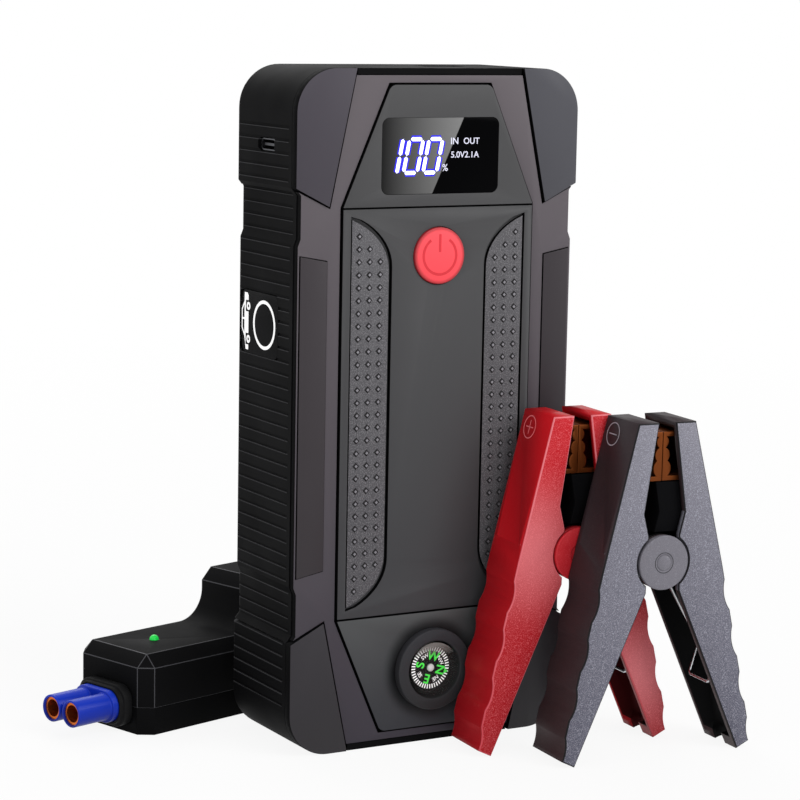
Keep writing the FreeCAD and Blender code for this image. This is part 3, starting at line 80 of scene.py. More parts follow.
def addObject(name, data):
    thing = bpy.data.objects.new(name, data)
    bpy.context.scene.collection.objects.link(thing)
    return thing


def meshFrom(name, shape):
    mesh = bpy.data.meshes.new(name)
    shape.to_mesh(mesh)
    shape.free()
    return mesh


def middleOf(nodeName):  # in mm
    low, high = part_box(nodeName)
    return [(low[i] + high[i]) / 2 / mm for i in range(3)]


def feed(tree, value, socket):  # an output is linked, a number or a colour is set
    if isinstance(value, bpy.types.NodeSocket):
        tree.links.new(value, socket)
    else:
        socket.default_value = linear(value) if isinstance(value, str) else value


def newNode(tree, kind, inputs=None, **settings):
    node = tree.nodes.new(kind)
    for key, value in settings.items():
        setattr(node, key, value)
    for key, value in (inputs or {}).items():
        feed(tree, value, node.inputs[key])
    return node


def maths(tree, operation, *values):
    return newNode(tree, "ShaderNodeMath", dict(enumerate(values)), operation=operation).outputs[0]


def measured(tree, operation, *vectors):
    node = newNode(tree, "ShaderNodeVectorMath", dict(enumerate(vectors)), operation=operation)
    return node.outputs["Value"]


def remap(tree, value, fromLow, fromHigh, toLow=0.0, toHigh=1.0, kind="LINEAR"):
    inputs = {"Value": value, "From Min": fromLow, "From Max": fromHigh, "To Min": toLow, "To Max": toHigh}
    return newNode(tree, "ShaderNodeMapRange", inputs, interpolation_type=kind).outputs["Result"]


def mixColour(tree, share, first, second):
    return newNode(tree, "ShaderNodeMix", {0: share, 6: first, 7: second}, data_type="RGBA").outputs[2]


def mixShaders(tree, share, first, second):
    return newNode(tree, "ShaderNodeMixShader", {0: share, 1: first, 2: second}).outputs[0]


def objectPlace(tree):
    return tree.nodes.new("ShaderNodeTexCoord").outputs["Object"]


def split(tree, place):
    return newNode(tree, "ShaderNodeSeparateXYZ", {0: place}).outputs


def noise(tree, scale, detail):
    inputs = {"Vector": objectPlace(tree), "Scale": scale, "Detail": detail}
    return newNode(tree, "ShaderNodeTexNoise", inputs).outputs["Fac"]


# camera, light and floor

view = {"position": (-371.36, -659.59, 210.98), "azimuth": -29.33, "elevation": 8.69, "roll": 1.09,
        "focalPixels": 2682.16, "picturePixels": 800, "sensor": 36.0, "clip": (0.01, 50)}


def addCamera(values):
    turn, tilt, roll = (math.radians(values[key]) for key in ("azimuth", "elevation", "roll"))
    back = Vector((math.sin(turn) * math.cos(tilt), -math.cos(turn) * math.cos(tilt), math.sin(tilt)))
    right = Vector((math.cos(turn), math.sin(turn), 0))
    up = back.cross(right)
    leftRight = math.cos(roll) * right + math.sin(roll) * up
    upDown = math.cos(roll) * up - math.sin(roll) * right
    lens = bpy.data.cameras.new("camera")
    lens.sensor_width = values["sensor"]
    lens.lens = values["focalPixels"] * values["sensor"] / values["picturePixels"]
    lens.clip_start, lens.clip_end = values["clip"]
    camera = addObject("camera", lens)
    place = Matrix((leftRight, upDown, back)).transposed().to_4x4()
    place.translation = Vector(values["position"]) * mm
    camera.matrix_world = place
    bpy.context.scene.camera = camera


addCamera(view)
bpy.context.scene.view_settings.view_transform = "Standard"

lampTarget = Vector((0, 0, 0.09))
lamps = {
    "key": {"at": (0.55, -1.15, 1.05), "wide": 0.9, "power": 13.0},
    "left": {"at": (-1.2, -0.35, 0.75), "wide": 0.6, "power": 1.2},
    "front": {"at": (-0.35, -1.3, 0.35), "wide": 0.8, "power": 3.0},
    "back": {"at": (0.1, 0.9, 0.9), "wide": 0.7, "power": 4.0},
}
for name, lamp in lamps.items():
    light = bpy.data.lights.new(name, "AREA")
    light.shape, light.size, light.energy = "SQUARE", lamp["wide"], lamp["power"]
    holder = addObject(name, light)
    holder.location = lamp["at"]
    holder.rotation_euler = (lampTarget - Vector(lamp["at"])).to_track_quat("-Z", "Y").to_euler()

surroundings = {"ambient": 0.5, "seen": 1.0, "floorNear": 0.3, "floorFar": 0.9, "floorGlow": (0.9, 1.0),
                "floorPale": "#f2f2f2", "floorRadius": 3.0, "floorSides": 96}


def seenDirectly(tree):  # by the camera, or in a reflection or through something clear
    path = tree.nodes.new("ShaderNodeLightPath").outputs
    seen = maths(tree, "MAXIMUM", path["Is Camera Ray"], path["Is Glossy Ray"])
    return maths(tree, "MAXIMUM", seen, path["Is Transmission Ray"])


def addWorld(values):
    world = bpy.data.worlds.new("studio")
    world.use_nodes = True
    bpy.context.scene.world = world
    tree = world.node_tree
    tree.nodes.clear()
    ambient, seen = (newNode(tree, "ShaderNodeBackground", {"Color": white, "Strength": values[key]}).outputs[0]
                     for key in ("ambient", "seen"))
    newNode(tree, "ShaderNodeOutputWorld", {0: mixShaders(tree, seenDirectly(tree), ambient, seen)})


def addFloor(values):
    shape = bmesh.new()
    bmesh.ops.create_circle(shape, cap_ends=True, radius=values["floorRadius"], segments=values["floorSides"])
    mesh = meshFrom("floor", shape)
    floor = addObject("floor", mesh)
    material = bpy.data.materials.new("paleFloor")
    material.use_nodes = True
    tree = material.node_tree
    tree.nodes.clear()
    distance = measured(tree, "LENGTH", objectPlace(tree))
    glow = remap(tree, distance, values["floorNear"], values["floorFar"], *values["floorGlow"])
    share = maths(tree, "MULTIPLY", seenDirectly(tree), glow)
    paint = newNode(tree, "ShaderNodeBsdfDiffuse", {"Color": values["floorPale"]})
    bright = newNode(tree, "ShaderNodeEmission", {"Color": white})
    both = mixShaders(tree, share, paint.outputs[0], bright.outputs[0])
    newNode(tree, "ShaderNodeOutputMaterial", {"Surface": both})
    mesh.materials.append(material)


addWorld(surroundings)
addFloor(surroundings)
print("camera, lamps and floor made")


# shader groups that several finishes share

def addInput(tree, label, value):
    kind = {tuple: "Vector", int: "Int", float: "Float"}[type(value)]
    socket = tree.interface.new_socket(name=label, in_out="INPUT", socket_type="NodeSocket" + kind)
    socket.default_value = value
    return socket.identifier


def newGroup(name, inputs, *outputs):
    tree = bpy.data.node_groups.new(name, "ShaderNodeTree")
    for label, value in inputs.items():
        addInput(tree, label, value)
    for label in outputs:
        tree.interface.new_socket(name=label, in_out="OUTPUT", socket_type="NodeSocketFloat")
    return tree, tree.nodes.new("NodeGroupInput").outputs, tree.nodes.new("NodeGroupOutput").inputs


# share of the top colour by height, which the finishes use to paint light and shade that change with height
def makeHeightFade():
    tree, given, end = newGroup("heightFade", {"Low": 0.0, "High": 0.19}, "Share")
    feed(tree, remap(tree, split(tree, objectPlace(tree))["Z"], given["Low"], given["High"]), end["Share"])
    return tree


def makeMouldedGrain():
    tree, given, end = newGroup("mouldedGrain", {"Grain Scale": 2500.0, "Patch Scale": 60.0}, "Height", "Patch")
    feed(tree, noise(tree, given["Grain Scale"], 2.0), end["Height"])
    feed(tree, noise(tree, given["Patch Scale"], 3.0), end["Patch"])
    return tree


speckLevels = {"rarest": 0.78, "softness": 0.16}


def makeSpeckle(levels):
    tree, given, end = newGroup("speckle", {"Scale": 3500.0, "Share": 0.3}, "Mask")
    level = maths(tree, "SUBTRACT", levels["rarest"], given["Share"])
    full = maths(tree, "ADD", level, levels["softness"])
    feed(tree, remap(tree, noise(tree, given["Scale"], 1.0), level, full), end["Mask"])
    return tree


def makeRoundShade():
    tree, given, end = newGroup("roundShade", {"Centre": (0, 0, 0), "Inner": 0.01, "Outer": 0.015}, "Mask")
    distance = measured(tree, "DISTANCE", objectPlace(tree), given["Centre"])
    feed(tree, remap(tree, distance, given["Inner"], given["Outer"], 1.0, 0.0, "SMOOTHSTEP"), end["Mask"])
    return tree


# painted highlights: thin light lines on the upward-facing groove ledges of the sides, where light from above
# falls
def makeRibHighlightLines():
    tree, given, end = newGroup("ribHighlightLines", {"First": 0.0142, "Pitch": 0.00355, "Below": 0.0005, "Wide": 0.0002,
                                             "Side": 0.0426, "Start": -0.014, "Middle": 0.095}, "Mask")
    endSlack = 0.0005

    def step(operation, *values):
        return maths(tree, operation, *values)

    place = split(tree, objectPlace(tree))
    half = step("MULTIPLY", given["Pitch"], 0.5)
    line = step("SUBTRACT", given["First"], given["Below"])
    shifted = step("ADD", step("SUBTRACT", place["Z"], line), half)
    away = step("ABSOLUTE", step("SUBTRACT", step("WRAP", shifted, given["Pitch"], 0.0), half))
    near = step("LESS_THAN", away, step("MULTIPLY", given["Wide"], 0.5))
    side = step("GREATER_THAN", step("ABSOLUTE", place["X"]), given["Side"])
    deep = step("GREATER_THAN", place["Y"], given["Start"])
    reach = step("ADD", step("SUBTRACT", given["Middle"], given["First"]), endSlack)
    within = step("COMPARE", place["Z"], given["Middle"], reach)
    feed(tree, step("MULTIPLY", step("MULTIPLY", near, side), step("MULTIPLY", deep, within)), end["Mask"])
    return tree


heightFade, mouldedGrain, speckle = makeHeightFade(), makeMouldedGrain(), makeSpeckle(speckLevels)
roundShade, ribHighlightLines = makeRoundShade(), makeRibHighlightLines()


def useGroup(tree, group, values):
    node = tree.nodes.new("ShaderNodeGroup")
    node.node_tree = group
    for key, value in values.items():
        node.inputs[key].default_value = value
    return node.outputs


# finishes: lengths in mm, "bottom" and "top" are the colours at the heights "low" and "high"; the change between
# them is painted shading, following the light and shade that falls on each part

bareLook = {"grain": 2500.0, "patch": 60.0, "low": 0.0, "high": 190.0, "tint": 0.12, "tintColour": "#000000",
            "shades": (), "rough": 0.5, "spread": 0.05, "bump": 0.25, "depth": 0.05, "metal": 0.0,
            "specular": 0.3}
patchRange = (0.3, 0.7)


def overlay(tree, colour, mask, amount, paint):
    return mixColour(tree, maths(tree, "MULTIPLY", mask, amount), colour, paint)


def surface(name, given):
    look = {**bareLook, "bottom": given["top"], **given}
    material = bpy.data.materials.new(name)
    material.use_nodes = True
    tree = material.node_tree
    shader = tree.nodes["Principled BSDF"]
    grain = useGroup(tree, mouldedGrain, {"Grain Scale": look["grain"], "Patch Scale": look["patch"]})
    fade = useGroup(tree, heightFade, {"Low": look["low"] * mm, "High": look["high"] * mm})
    colour = mixColour(tree, fade["Share"], look["bottom"], look["top"])
    colour = overlay(tree, colour, grain["Patch"], look["tint"], look["tintColour"])
    if "specks" in look:
        specks = look["specks"]
        mask = useGroup(tree, speckle, {"Scale": specks["scale"], "Share": specks["share"]})["Mask"]
        colour = overlay(tree, colour, mask, specks["amount"], specks["colour"])
    if "ribHighlight" in look:
        ribHighlight = look["ribHighlight"]
        sizes = {key.capitalize(): ribHighlight[key] * mm for key in ("first", "pitch", "below", "wide", "side", "start")}
        colour = overlay(tree, colour, useGroup(tree, ribHighlightLines, sizes)["Mask"], ribHighlight["amount"], ribHighlight["colour"])
    for zone in look["shades"]:
        sizes = {"Centre": [v * mm for v in zone["centre"]],
                 "Inner": zone["inner"] * mm, "Outer": zone["outer"] * mm}
        mask = useGroup(tree, roundShade, sizes)["Mask"]
        if zone["outside"]:
            mask = maths(tree, "SUBTRACT", 1.0, mask)
        colour = overlay(tree, colour, mask, zone["amount"], zone["colour"])
    rough = remap(tree, grain["Patch"], *patchRange, look["rough"] - look["spread"],
                  look["rough"] + look["spread"])
    bump = newNode(tree, "ShaderNodeBump", {"Strength": look["bump"], "Distance": look["depth"] * mm,
                                            "Height": grain["Height"]})
    final = {"Base Color": colour, "Roughness": rough, "Normal": bump.outputs["Normal"],
             "Metallic": look["metal"], "Specular IOR Level": look["specular"]}
    if "glow" in look:
        final.update({"Emission Color": look["glow"], "Emission Strength": look["glowStrength"]})
    for key, value in final.items():
        feed(tree, value, shader.inputs[key])
    return material


def specks(colour, scale=4800.0, share=0.25, amount=0.3):
    return {"colour": colour, "scale": scale, "share": share, "amount": amount}


def shade(centre, inner, outer, amount, colour, outside=False):
    return {"centre": centre, "inner": inner, "outer": outer, "amount": amount, "colour": colour,
            "outside": outside}


def smooth(top, bottom, **more):  # finely grained panels
    return {"top": top, "bottom": bottom, "specular": 0.2, "bump": 0.12, "grain": 4000.0, **more}


def clampLook(top, bottom, **more):
    return {"top": top, "bottom": bottom, "high": 95.0, **more}


looks = {
    "case_black": {"top": "#101011", "bottom": "#0b0b0c", "rough": 0.6, "specular": 0.03, "grain": 3000.0,
                   "bump": 0.35,
                   # painted highlights: light lines on the groove ledges
                   "ribHighlight": {"first": 14.2, "pitch": 3.55, "below": 0.5, "wide": 0.2, "side": 42.6, "start": -14.0,
                            "colour": "#4c4c4e", "amount": 0.75}},
    # painted shade: black for the side walls of the face panels, standing in for the shade in the gaps between
    # them
    "gap_shade_black": {"top": "#0b0b0c", "rough": 0.6, "specular": 0.02},
    "frame_grey": smooth("#625c60", "#36323a", rough=0.45, tint=0.1, bump=0.15, tintColour="#2a2632"),
    "guard_grey": smooth("#454149", "#2b292c", rough=0.42, specular=0.22, tint=0.1),
    # painted light: a lighter copy of guard_grey for the top right guard, painting the light it catches
    "guard_grey_lit": smooth("#4c4c52", "#2e2d30", rough=0.42, specular=0.22, tint=0.1),
    "inlay_grey": smooth("#3a3539", "#322e31", rough=0.45),
    "panel_grey": smooth("#4a4a4b", "#363639", tint=0.06),
    # the dark ring round the compass is painted shade in the hollow around it
    "compass_panel_grey": smooth("#48494a", "#303136", low=4.0, high=38.0, tint=0.06,
                                 shades=[shade((0, -19, 21.3), 11.8, 16.0, 0.85, "#101012")]),
    "pad_rubber": {"top": "#5d5c5f", "bottom": "#49484c", "rough": 0.75, "specular": 0.15,
                   "specks": specks("#8b898c", 3200.0, 0.28, 0.5), "grain": 3200.0, "bump": 0.5},
    "stud_rubber": {"top": "#1f1e20", "bottom": "#1a191b", "rough": 0.6, "specular": 0.2},
    "stud_lit": {"top": "#8f8d92", "bottom": "#77757b", "rough": 0.55, "specular": 0.2},
    "display_black": {"top": "#141414"},
    # the dark red ring outside the middle of the button is painted shade at its rim
    "button_red": smooth("#fb525b", "#f4444e", low=130.0, high=147.0, rough=0.4, specular=0.35, tint=0.05,
                         tintColour="#a01820", bump=0.1,
                         shades=[shade((0, -19.7, 138.5), 6.6, 7.9, 0.75, "#7c1218", True)]),
    "sign_red": {"top": "#d92f3a"},
    "switch_black": {"top": "#1c1c1c"},
    "screw_steel": {"top": "#8d8e91", "metal": 1.0, "rough": 0.35, "grain": 1500.0},
    # the near-black ring is painted shade around the capsule
    "compass_black": {"top": "#313135", "bottom": "#29292b", "low": 9.0, "high": 33.0, "rough": 0.6,
                      "specular": 0.2, "bump": 0.2, "shades": [shade((0, -19, 21.3), 7.6, 9.2, 0.9, "#050506")]},
    "dial_black": {"top": "#0b0c10", "rough": 0.6, "specular": 0.1},
    "pearl": {"top": "#f4f2f2", "rough": 0.25, "specular": 0.5, "tintColour": "#b9b4c0"},
    "pivot_brass": {"top": "#c9a860", "metal": 1.0, "rough": 0.3},
    "board_green": {"top": "#1d5c3c"},
    "cell_grey": {"top": "#94979b", "metal": 0.6, "rough": 0.45},
    "tray_black": {"top": "#222222"},
    "socket_black": {"top": "#161617"},
    "contact_copper": {"top": "#d8702c", "metal": 0.9, "rough": 0.32, "tintColour": "#5a2a12", "tint": 0.3},
    "cover_rubber": {"top": "#161617", "bottom": "#111112", "low": 105.0, "high": 128.0, "rough": 0.6,
                     "specular": 0.04, "bump": 0.3},
    "port_steel": {"top": "#505155", "metal": 1.0, "rough": 0.35},
    "reflector_chrome": {"top": "#d5d7da", "metal": 1.0, "rough": 0.12},
    "red_plastic": clampLook("#c41a24", "#a01019", rough=0.45, specular=0.15, grain=4200.0, bump=0.3,
                             specks=specks("#e87880", 4000.0, 0.28, 0.45),
                             # the pale pink round patches are painted highlights on the arm fronts
                             shades=[shade((20.0, -42.0, 58.0), 0.0, 26.0, 0.4, "#f59aa0"),
                                     shade((56.0, -44.0, 20.0), 0.0, 26.0, 0.5, "#f59aa0")]),
    # painted shade: a separate copy of the red for the outer sides of the arms
    "red_side_shaded": clampLook("#c4121c", "#ad151e", rough=0.45, specular=0.12, specks=specks("#c8303a"), grain=4200.0),
    # painted shade: the dark insides of the arm channels
    "red_channel_shade": clampLook("#5c0a10", "#420609", rough=0.6, specular=0.1),
    # painted highlight: pale pink on the bevels of the red arm edges
    "red_edge_highlight": clampLook("#ee8088", "#d04550", rough=0.4, specular=0.25),
    "grey_plastic": clampLook("#7d7c86", "#525260", rough=0.45, specular=0.15, grain=4200.0, bump=0.3,
                              specks=specks("#b9b8c4", 4000.0, 0.28, 0.45)),
    # painted shade for the outer sides of the grey arms, with a reddish painted reflection of the red clamp
    "grey_side_shaded": clampLook("#30262a", "#3c2c2e", specular=0.12, specks=specks("#55494a"), grain=4200.0),
    # painted shade: the dark insides of the arm channels
    "grey_channel_shade": {"top": "#101011", "bottom": "#0b0b0c", "rough": 0.6, "specular": 0.08},
    # painted shade: a dark line on the bevels of the grey arm edges
    "grey_edge_shade": {"top": "#1b1b1e", "bottom": "#141416", "specular": 0.15},
    "jaw_copper": {"top": "#7c4019", "metal": 0.8, "rough": 0.4, "tint": 0.4, "tintColour": "#2c1005",
                   "grain": 900.0},
    "block_black": {"top": "#0c0c0e", "rough": 0.6, "specular": 0.03},
    "pin_steel": {"top": "#9a9a9c", "metal": 1.0, "rough": 0.3},
    "red_cap": {"top": "#c4202a", "rough": 0.42, "specular": 0.22, "specks": specks("#e4646c"), "bump": 0.3},
    "black_cap": {"top": "#6f6d75", "rough": 0.42, "specular": 0.22, "specks": specks("#a19fa8"), "bump": 0.3},
    "spring_steel": {"top": "#b9babd", "metal": 1.0, "rough": 0.25},
    "module_black": {"top": "#141415", "bottom": "#0d0d0e", "high": 38.0, "rough": 0.55, "specular": 0.02,
                     "grain": 2200.0, "bump": 0.4},
    # painted highlight on the bevels of the module lid
    "module_edge_highlight": {"top": "#4c4c50", "bottom": "#333336", "high": 38.0, "specular": 0.2},
    "lamp_green": {"top": "#1fd04c", "rough": 0.25, "glow": "#18c84a", "glowStrength": 0.5},
    "plug_blue": {"top": "#1238c4", "bottom": "#0a1c7c", "low": 3.0, "high": 13.0, "rough": 0.35,
                  "specular": 0.18, "bump": 0.1},
    "collar_rubber": {"top": "#0f0f10", "rough": 0.6, "specular": 0.1},
    "relay_black": {"top": "#1a1a1c"},
    "gland_rubber": {"top": "#161617", "rough": 0.65},
    "digit_white": {"top": white, "glow": "#eef0ff", "glowStrength": 0.9, "tint": 0.02},
    "digit_blue": {"top": "#1a14a0", "glow": "#2a1fe0", "glowStrength": 0.7, "tint": 0.02},
    "screen_print": {"top": "#c9c9d8", "glow": "#d0d0e6", "glowStrength": 0.35, "tint": 0.02},
    # the glow is painted light: the printed car sign emits
    "sign_white": {"top": white, "glow": white, "glowStrength": 0.3, "tint": 0.02},
    "cap_ring_red": {"top": "#7a0c14"},
    "cap_ring_grey": {"top": "#2e2d32"},
    # the glow on these printed compass marks is painted light
    "print_green": {"top": "#50f054", "glow": "#40e048", "glowStrength": 0.25, "tint": 0.03},
    "dial_white": {"top": white, "glow": white, "glowStrength": 0.3, "tint": 0.02},
    "print_red": {"top": "#f07a80", "rough": 0.45, "tint": 0.05},
    "print_grey": {"top": "#a09da5", "rough": 0.45, "tint": 0.05},
}
finishes = {name: surface(name, look) for name, look in looks.items()}

clearLooks = {
    # the grey colour, more opaque towards the top, is a painted reflection across the top of the capsule
    "capsule_clear": {"top": "#8d8b88", "low": 25.2, "high": 28.4, "clear": 0.03, "topAlpha": 0.75, "rough": 0.12,
                      "spread": 0.03, "bump": 0.0, "specular": 0.5},
    "torch_clear": {"top": "#dfe4e8", "low": 180.0, "high": 190.0, "clear": 0.25, "topAlpha": 0.35, "rough": 0.08,
                    "spread": 0.02, "bump": 0.0, "specular": 0.5},
}


def clearFinish(name, values):  # more opaque towards the height "high"; on the capsule this paints a grey reflection across its top
    material = surface(name, values)
    tree = material.node_tree
    fade = useGroup(tree, heightFade, {"Low": values["low"] * mm, "High": values["high"] * mm})
    alpha = remap(tree, fade["Share"], 0.0, 1.0, values["clear"], values["topAlpha"])
    feed(tree, alpha, tree.nodes["Principled BSDF"].inputs["Alpha"])
    return material


for name, look in clearLooks.items():
    finishes[name] = clearFinish(name, look)

# the pale field of the window is a painted reflection: it ends at a slanting edge, and fades in from the left
screen = {"top": "#020203", "edgeTop": (7.1, 176.5), "edgeFoot": (-2.6, 155.6), "left": -18.0,
          "light": "#7d7d7d", "faintest": 0.08, "edgeSoft": 0.1}


def makeScreen(values):
    material = surface("window_black", {"top": values["top"], "rough": 0.2, "spread": 0.03, "bump": 0.02,
                                        "specular": 0.02})
    tree = material.node_tree
    base = tree.nodes["Principled BSDF"].inputs["Base Color"]
    dark = base.links[0].from_socket
    place = split(tree, objectPlace(tree))
    (topX, topZ), (footX, footZ) = values["edgeTop"], values["edgeFoot"]
    slope = (topX - footX) / (topZ - footZ)
    across = maths(tree, "ADD", place["X"], maths(tree, "MULTIPLY", place["Z"], -slope))
    limit, soft = (footX - slope * footZ) * mm, values["edgeSoft"] * mm
    edge = remap(tree, across, limit - soft, limit + soft, 1.0, 0.0)
    ramp = remap(tree, place["X"], values["left"] * mm, topX * mm, values["faintest"], 1.0)
    feed(tree, mixColour(tree, maths(tree, "MULTIPLY", edge, ramp), dark, values["light"]), base)
    return material


finishes["window_black"] = makeScreen(screen)
print("finishes made:", len(finishes))

for nodeName, thing in cadNodes.items():
    finish = finishes[slotOf[nodeName]]
    if not thing.data.materials:
        thing.data.materials.append(finish)
    for place in thing.material_slots:
        place.material = finish


def finishPiece(name, mesh, finish, body, replaced=()):
    piece = addObject(name, mesh)
    mesh.materials.clear()
    for each in [finish] if isinstance(finish, str) else finish:
        mesh.materials.append(finishes[each])
    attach(piece, body)
    if replaced:
        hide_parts(*replaced)
    return piece


# softened copies of the moulded pieces: bevel width in mm, steps, and the pieces

softSizes = (
    (0.15, 2, "face_frame corner_guard_top_left corner_guard_top_right corner_guard_bottom_left"
              " corner_guard_bottom_right side_inlay_left side_inlay_right display_panel centre_panel"
              " compass_panel grip_pad_left grip_pad_right display_window"),
    (0.5, 3, "power_button"), (0.45, 3, "compass_housing"), (0.35, 3, "socket_cover"), (0.6, 3, "module_lid"),
    (0.3, 2, "module_base"), (0.35, 3, "module_plug"), (0.3, 2, "module_collar"),
    (0.35, 2, "red_left_arm red_right_arm black_left_arm black_right_arm"),
    (0.35, 3, "red_pivot_caps black_pivot_caps"), (0.3, 2, "red_jaw_block black_jaw_block"),
    (0.03, 1, "red_pivot_pin black_pivot_pin"),
    (0.12, 2, "red_left_jaw red_right_jaw black_left_jaw black_right_jaw"),
)
softened = {name: (radius, steps) for radius, steps, names in softSizes for name in names.split()}
softRules = {"weld": 0.000002, "flat": 0.5, "sharp": 32}  # metres, then degrees
finishFor = {"compass_panel": "compass_panel_grey", "corner_guard_top_right": "guard_grey_lit",
             "red_pivot_pin": "red_cap", "black_pivot_pin": "black_cap"}
# per arm colour: fronts, outer sides with painted shade, channel with painted shade, bevels with painted highlight
# on red and painted shade on grey
armFinishes = {"red": ("red_plastic", "red_side_shaded", "red_channel_shade", "red_edge_highlight"),
               "black": ("grey_plastic", "grey_side_shaded", "grey_channel_shade", "grey_edge_shade")}
armFaces = {"channel": 7.05, "outline": 8.7, "slack": 0.1, "facing": 0.9}
edgeHighlightFinish = {"module_lid": "module_edge_highlight"}
# side walls of these pieces are painted black as the shade in the gaps between the panels
gapShaded = ("face_frame", "corner_guard", "side_inlay", "display_panel", "centre_panel", "compass_panel", "grip_pad")
gapShadeFacing = 0.5

# both clamps stand turned: along runs across the handles, deep from the front face to the back
clampTurn = math.radians(-4.0)
along = Vector((math.cos(clampTurn), math.sin(clampTurn), 0))
deep = Vector((-math.sin(clampTurn), math.cos(clampTurn), 0))


def clampPlace(colour):
    return Vector(middleOf(colour + "_pivot_pin")[:2] + [0])


def clampDepths(mesh, colour):
    middle = clampPlace(colour).dot(deep)
    return [corner.co.dot(deep) / mm - middle for corner in mesh.vertices]


def paintArm(mesh, colour):  # 0 front and back faces, 1 outer sides with painted shade, 2 inside the channel with painted shade
    depths = clampDepths(mesh, colour)
    channel, outline, slack = armFaces["channel"], armFaces["outline"], armFaces["slack"]
    for face in mesh.polygons:
        ends = [depths[i] for i in face.vertices]
        oneSide = min(ends) > channel - slack or max(ends) < slack - channel
        if max(abs(end) for end in ends) < channel:
            face.material_index = 2
        else:
            face.material_index = 0 if oneSide or abs(face.normal.dot(deep)) > armFaces["facing"] else 1
    weights = mesh.attributes.new("bevel_weight_edge", "FLOAT", "EDGE")
    for edge in mesh.edges:
        ends = [depths[i] for i in edge.vertices]
        weights.data[edge.index].value = 1.0 if min(ends) > outline or max(ends) < -outline else 0.0


def soften(nodeName, radius, steps):
    shape = bmesh.new()
    shape.from_mesh(cadNodes[nodeName].data)
    bmesh.ops.remove_doubles(shape, verts=shape.verts, dist=softRules["weld"])
    bmesh.ops.dissolve_limit(shape, angle_limit=math.radians(softRules["flat"]), verts=shape.verts,
                             edges=shape.edges)
    mesh = meshFrom("soft_" + nodeName, shape)
    mesh.shade_smooth()
    colour = nodeName.split("_")[0]
    isArm, isGapShaded = nodeName.endswith("_arm"), nodeName.startswith(gapShaded)
    used = [finishFor.get(nodeName, slotOf[nodeName])]
    if isArm:
        used = armFinishes[colour]
    elif nodeName in edgeHighlightFinish:
        used.append(edgeHighlightFinish[nodeName])
    elif isGapShaded:
        used.append("gap_shade_black")
    body = body_of(cadNodes[nodeName])[0]
    piece = finishPiece("soft_" + nodeName, mesh, used, body, (nodeName,))
    if isArm:
        paintArm(mesh, colour)
    # faces that do not face front or back take the painted shade black
    if isGapShaded:
        for face in mesh.polygons:
            face.material_index = 0 if abs(face.normal.y) > gapShadeFacing else 1
    bevel = piece.modifiers.new("edges", "BEVEL")
    bevel.width, bevel.segments = radius * mm, steps
    bevel.limit_method, bevel.angle_limit = "WEIGHT" if isArm else "ANGLE", math.radians(softRules["sharp"])
    bevel.use_clamp_overlap = not isArm
    bevel.harden_normals = True
    # the bevel faces take the last finish: the painted highlight on red arms and the module lid, the painted shade
    # on grey arms
    if isArm or nodeName in edgeHighlightFinish:
        bevel.material = len(used) - 1


for nodeName, size in softened.items():
    soften(nodeName, *size)
print("softened pieces:", len(softened))

# clamp springs are cut in two, because the right leg follows the moving arm
springCut = {"past": 4.4}


def springHalf(colour, way, body):
    source = colour + "_spring"
    start = clampPlace(colour) * mm + along * springCut["past"] * mm
    shape = bmesh.new()
    shape.from_mesh(cadNodes[source].data)
    bmesh.ops.remove_doubles(shape, verts=shape.verts, dist=softRules["weld"])
    geometry = shape.verts[:] + shape.edges[:] + shape.faces[:]
    bmesh.ops.bisect_plane(shape, geom=geometry, plane_co=start, plane_no=along * way, clear_inner=True)
    bmesh.ops.holes_fill(shape, edges=[edge for edge in shape.edges if edge.is_boundary])
    name = "%sSpring%s" % (colour, "Leg" if way > 0 else "Coils")
    mesh = meshFrom(name, shape)
    mesh.shade_smooth()
    finishPiece(name, mesh, "spring_steel", body, (source,))


for colour in ("red", "black"):
    springHalf(colour, 1, colour + "_arm")
    springHalf(colour, -1, "pack")


# printed and raised marks, drawn in mm in a plane and laid on a face

front = {"right": (1, 0, 0), "up": (0, 0, 1)}
leftSide = {"right": (0, -1, 0), "up": (0, 0, 1)}
markSizes = {"foot": -0.02, "top": 0.03, "capitals": 0.7, "extrude": 0.02, "weld": 0.0005}


def placement(origin, right, up):
    right, up = Vector(right).normalized(), Vector(up).normalized()
    place = Matrix((right, up, right.cross(up))).transposed().to_4x4()
    place.translation = Vector(origin) * mm
    return place


def marks(name, shapes, origin, axes, finish, body, high=markSizes["top"]):
    shape = bmesh.new()
    for outline in shapes:
        foot, top = [[shape.verts.new((x * mm, y * mm, level * mm)) for x, y in outline]
                     for level in (markSizes["foot"], high)]
        shape.faces.new(top)
        shape.faces.new(list(reversed(foot)))
        for i in range(len(outline)):
            j = (i + 1) % len(outline)
            shape.faces.new((foot[i], foot[j], top[j], top[i]))
    bmesh.ops.recalc_face_normals(shape, faces=shape.faces)
    shape.transform(placement(origin, **axes))
    finishPiece(name, meshFrom(name, shape), finish, body)


def arcBand(radius, wide, start=0, end=360, steps=48, centre=(0, 0)):
    quads = []
    for i in range(steps):
        a, b = (math.radians(start + (end - start) * k / steps) for k in (i, i + 1))
        inner, outer = radius - wide / 2, radius + wide / 2
        quads.append([(centre[0] + r * math.cos(t), centre[1] + r * math.sin(t))
                      for r, t in ((inner, a), (outer, a), (outer, b), (inner, b))])
    return quads


